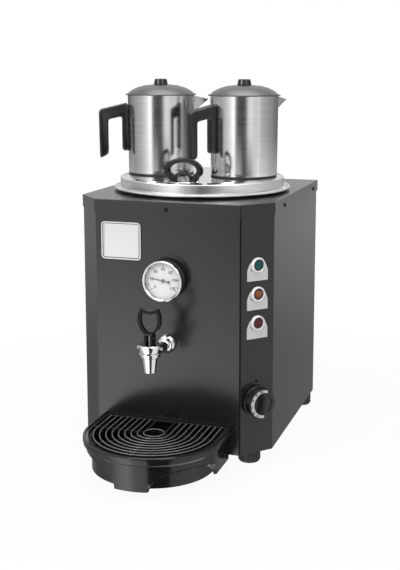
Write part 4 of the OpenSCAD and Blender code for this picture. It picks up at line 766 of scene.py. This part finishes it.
# ---- Thermostat knob -------------------------------------------------------------------------
# The knob's hub grips the thermostat's shaft, and a silver crescent is let into the rim of its
# face. Numbers are printed on the crescent, and a black dot sits on the casing above the knob.
STRIP_X, STRIP_Y, STRIP_TURN = 140.75, -157.0, math.atan2(46.0, 41.5)
KNOB_Z, KNOB_FACE, KNOB_INK, DOT_Z, DOT_R = 107.0, 20.57, 0.05, 139.0, 2.1
KNOB_NUMBER, KNOB_BOLD = 4.8, 0.12
FIRST_NUMBER, NUMBER_STEP, NUMBER_BACK, KNOB_REACH, REACH_SWING = 108.0, 29.0, 9.5, 20.0, 0.5
scale_silver = brushed("scale_silver", (0.62, 0.62, 0.63), (0.36, 0.46), (900.0, 900.0, 900.0))
dress(scale_silver, "knob_scale")


def on_strip(points, z):
    """The same as on_front for the chamfer that carries the lamps and the knob, whose right and
    outward directions are turned by STRIP_TURN about the upright axis."""
    points, c, d = np.asarray(points, float), math.cos(STRIP_TURN), math.sin(STRIP_TURN)
    return np.stack([STRIP_X + points[..., 0] * c + points[..., 2] * d,
                     STRIP_Y + points[..., 0] * d - points[..., 2] * c, z + points[..., 1]], -1)


numbers = []
for step, word in enumerate(("30", "45", "60", "75", "90", "110")):
    angle = FIRST_NUMBER + NUMBER_STEP * step
    points, faces = number(word, KNOB_NUMBER, KNOB_FACE, KNOB_FACE + KNOB_INK, KNOB_BOLD)
    far = KNOB_REACH - REACH_SWING * math.cos(math.radians(angle))
    points = turned_by(turned_by(points, -90.0) + (far, 0, 0), angle - NUMBER_BACK)
    numbers.append((on_strip(points, KNOB_Z), faces))
swept_piece("knob_print", [], "knob_body", ink_and_painted_shade, extra=numbers)
knob_dot = slab(circle(DOT_R, 24), 0.02, 0.25)
swept_piece("knob_dot", [on_strip(knob_dot, DOT_Z)], "casing_body", ink_and_painted_shade)

# ---- Name plate ------------------------------------------------------------------------------
# A blank plate of silver brushed metal with a double raised border, flat on the front panel. A
# dark line inside the border is painted shade of the groove there.
PLATE_X, PLATE_Z, PLATE_HALF_WIDE, PLATE_HALF_HIGH, PLATE_CORNER = -76.0, 356.0, 33.5, 30.0, 6.0
LINE_LOW, LINE_HIGH, LINE_OUTER, LINE_INNER = 1.47, 1.6, 2.05, 3.1
silver = brushed("silver_plate", (0.60, 0.60, 0.605), (0.3, 0.4), (1500.0, 8.0, 8.0))
dress(silver, "name_plate")


def border(inset):
    """Rounded outline of the name plate, this far inside its edge: a quarter circle at the upper
    right, mirrored to the left and then down."""
    corner = np.radians(np.arange(0, 91, 10))
    middle = (PLATE_HALF_WIDE - PLATE_CORNER, PLATE_HALF_HIGH - PLATE_CORNER)
    quarter = np.stack([np.cos(corner), np.sin(corner)], 1) * (PLATE_CORNER - inset) + middle
    half = np.concatenate([quarter, quarter[::-1] * (-1, 1)])
    return np.concatenate([half, half[::-1] * (1, -1), half[:1]])


outer, inner = border(LINE_OUTER), border(LINE_INNER)
line = np.stack([np.column_stack([edge, np.full(len(edge), z)]) for edge, z in
                 ((outer, LINE_LOW), (outer, LINE_HIGH), (inner, LINE_HIGH), (inner, LINE_LOW))], 1)
swept_piece("plate_groove_shade", [on_front(line, PLATE_X, PLATE_Z)], "casing_body", ink_and_painted_shade)

# ---- Pilot lamps -----------------------------------------------------------------------------
# Three moulded lamps stand through the chamfer, each over a plain white plate and nutted from
# behind. A rounded white collar holds each coloured lens, which is a low dome with moulded cells.
LAMP_LOWEST, LAMP_STEP = 234.0, 46.0
COLLAR = [(11.7, 2.1), (11.9, 4.2), (11.5, 5.3), (10.8, 5.9), (9.9, 5.9), (9.1, 5.3), (8.9, 4.4), (8.9, 2.1)]
LENS_R, LENS_FOOT, LENS_EDGE, LENS_RISE, LENS_SIDES = 8.3, 2.15, 3.6, 1.9, 48
ring_white = coated("ring_white", (0.80, 0.80, 0.79), (0.85, 0.85, 0.84), (0.2, 0.3), 500.0, 0.00003)
dress(ring_white, "lamp_rings")
plate_white = coated("label_white", (0.60, 0.60, 0.61), (0.68, 0.68, 0.69), (0.35, 0.5), 500.0, 0.00003)
dress(plate_white, "lamp_labels")


def lens(name, seam_shade_colour, cell_highlight_colour):
    """Moulded lens: cells about 2 mm wide, each bulging out of the face. Each cell is paler at its
    middle, a painted highlight, and dark at its seam, painted shade.
    """
    made, nodes, links, shader = node_setup(name)
    place, cells = nodes.new("ShaderNodeTexCoord"), nodes.new("ShaderNodeTexVoronoi")
    cells.inputs["Scale"].default_value = 420.0
    # the cells' colour runs from painted highlight at the middle to painted shade at the seam
    depth = nodes.new("ShaderNodeMix")
    depth.data_type = "RGBA"
    depth.inputs["A"].default_value = (*cell_highlight_colour, 1.0)
    depth.inputs["B"].default_value = (*seam_shade_colour, 1.0)
    bump = nodes.new("ShaderNodeBump")
    bump.invert = True
    bump.inputs["Distance"].default_value = 0.0004
    bump.inputs["Strength"].default_value = 0.7
    links.new(place.outputs["Object"], cells.inputs["Vector"])
    links.new(cells.outputs["Distance"], depth.inputs["Factor"])
    links.new(depth.outputs["Result"], shader.inputs["Base Color"])
    links.new(cells.outputs["Distance"], bump.inputs["Height"])
    links.new(bump.outputs["Normal"], shader.inputs["Normal"])
    shader.inputs["Roughness"].default_value = 0.1
    shader.inputs["Specular IOR Level"].default_value = 0.25
    return made


# each lens gets the colour of its cells' painted shade at their seams, then of their painted highlight at
# their middles
LENSES = {"green": lens("lens_green", (0.001, 0.03, 0.03), (0.008, 0.16, 0.155)),
          "amber": lens("lens_amber", (0.10, 0.028, 0.006), (0.48, 0.15, 0.04)),
          "red": lens("lens_red", (0.035, 0.003, 0.005), (0.20, 0.022, 0.028))}
# a lens is a stack of circles: its foot, and then a dome that narrows as it rises
dome = np.radians(np.linspace(0, 84, 9))
dome_r = np.concatenate([[LENS_R], LENS_R * np.cos(dome)])
dome_z = np.concatenate([[LENS_FOOT], LENS_EDGE + LENS_RISE * np.sin(dome)])
dome_rings = np.stack([np.column_stack([circle(r, LENS_SIDES), np.full(LENS_SIDES, h)])
                       for r, h in zip(dome_r, dome_z)])
collars = []
for step, colour in enumerate(("red", "amber", "green")):
    z = LAMP_LOWEST + LAMP_STEP * step
    collars.append(on_strip(turned_profile(COLLAR, 61), z))
    swept_piece(f"lamp_{colour}_dome", [on_strip(dome_rings, z)], "casing_body", LENSES[colour],
                (f"lens_{colour}",))
swept_piece("lamp_collars", collars, "casing_body", ring_white, ("lamp_rings",))

# ---- Front panel's edges ---------------------------------------------------------------------
# On the right the control shell slips behind the front panel, and a thin black strip in the lap
# is painted shadow. On the left the panel is folded into the chamfer, and a round of lighter grey
# along that edge is a painted highlight.
PANEL_FOOT, PANEL_TOP = 22.0, 398.0
LAP = [(119.1, -180.15), (120.15, -180.15), (120.15, -179.4), (119.1, -179.4)]
FOLD_X, FOLD_Y, FOLD_R = -119.75, -179.45, 0.8
# the fold's lighter grey is a painted highlight on the black coat
fold_highlight = coated("fold_highlight", (0.05, 0.05, 0.05), (0.065, 0.065, 0.065), (0.2, 0.26), 1400.0, 0.00002)
# the black strip in the lap is painted shadow
swept_piece("panel_lap_shadow", [slab(LAP, PANEL_FOOT, PANEL_TOP)], "casing_body", ink_and_painted_shade)
fold = circle(FOLD_R, 16) + (FOLD_X, FOLD_Y)
swept_piece("panel_fold", [slab(fold, PANEL_FOOT, PANEL_TOP)], "casing_body", fold_highlight)

# ---- Tap -------------------------------------------------------------------------------------
# A chromed brass body with a black moulded tulip handle on a chromed pin. Nuts and a soft washer
# clamp its shank to the tank's wall.
TAP_Y = -256.0
chrome = brushed("chrome", (0.82, 0.82, 0.83), (0.03, 0.06), (40.0, 40.0, 40.0), 0.000005)
dress(chrome, "tap_body", "tap_flange", "tap_bonnet", "tap_pin")
tap_black = coated("tap_black", (0.006, 0.006, 0.006), (0.009, 0.009, 0.009), (0.2, 0.28), 700.0, 0.00002,
                   gleam=0.13)
dress(tap_black, "tap_handle")

# The closing spring is a coil of steel wire between the stem's cup and the bonnet; pulling the
# handle lifts the cup and squeezes the coil, whose upper end stays against the bonnet, but the
# coil is built here at rest only. The wire's circle is carried round the tap's axis while it
# rises evenly from SPRING_LOW to SPRING_HIGH.
SPRING_LOW, SPRING_HIGH, SPRING_END, STEM_TRAVEL = 191.5, 205.7, 206.3, 1.95
SPRING_R, SPRING_WIRE, SPRING_TURNS = 5.2, 0.6, 4
around = np.linspace(0, 2 * math.pi * SPRING_TURNS, 97)[:, None]
wire = np.linspace(0, 2 * math.pi, 8, endpoint=False)[None, :]
reach = SPRING_R + SPRING_WIRE * np.cos(wire)
rise = SPRING_LOW + (SPRING_HIGH - SPRING_LOW) * around / (2 * math.pi * SPRING_TURNS)
coil = np.stack([reach * np.cos(around), reach * np.sin(around) + TAP_Y,
                 rise - SPRING_WIRE * np.sin(wire)], -1)
spring = swept_piece("closing_spring", [coil], "casing_body", dark_steel, ("tap_spring",))
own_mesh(spring)
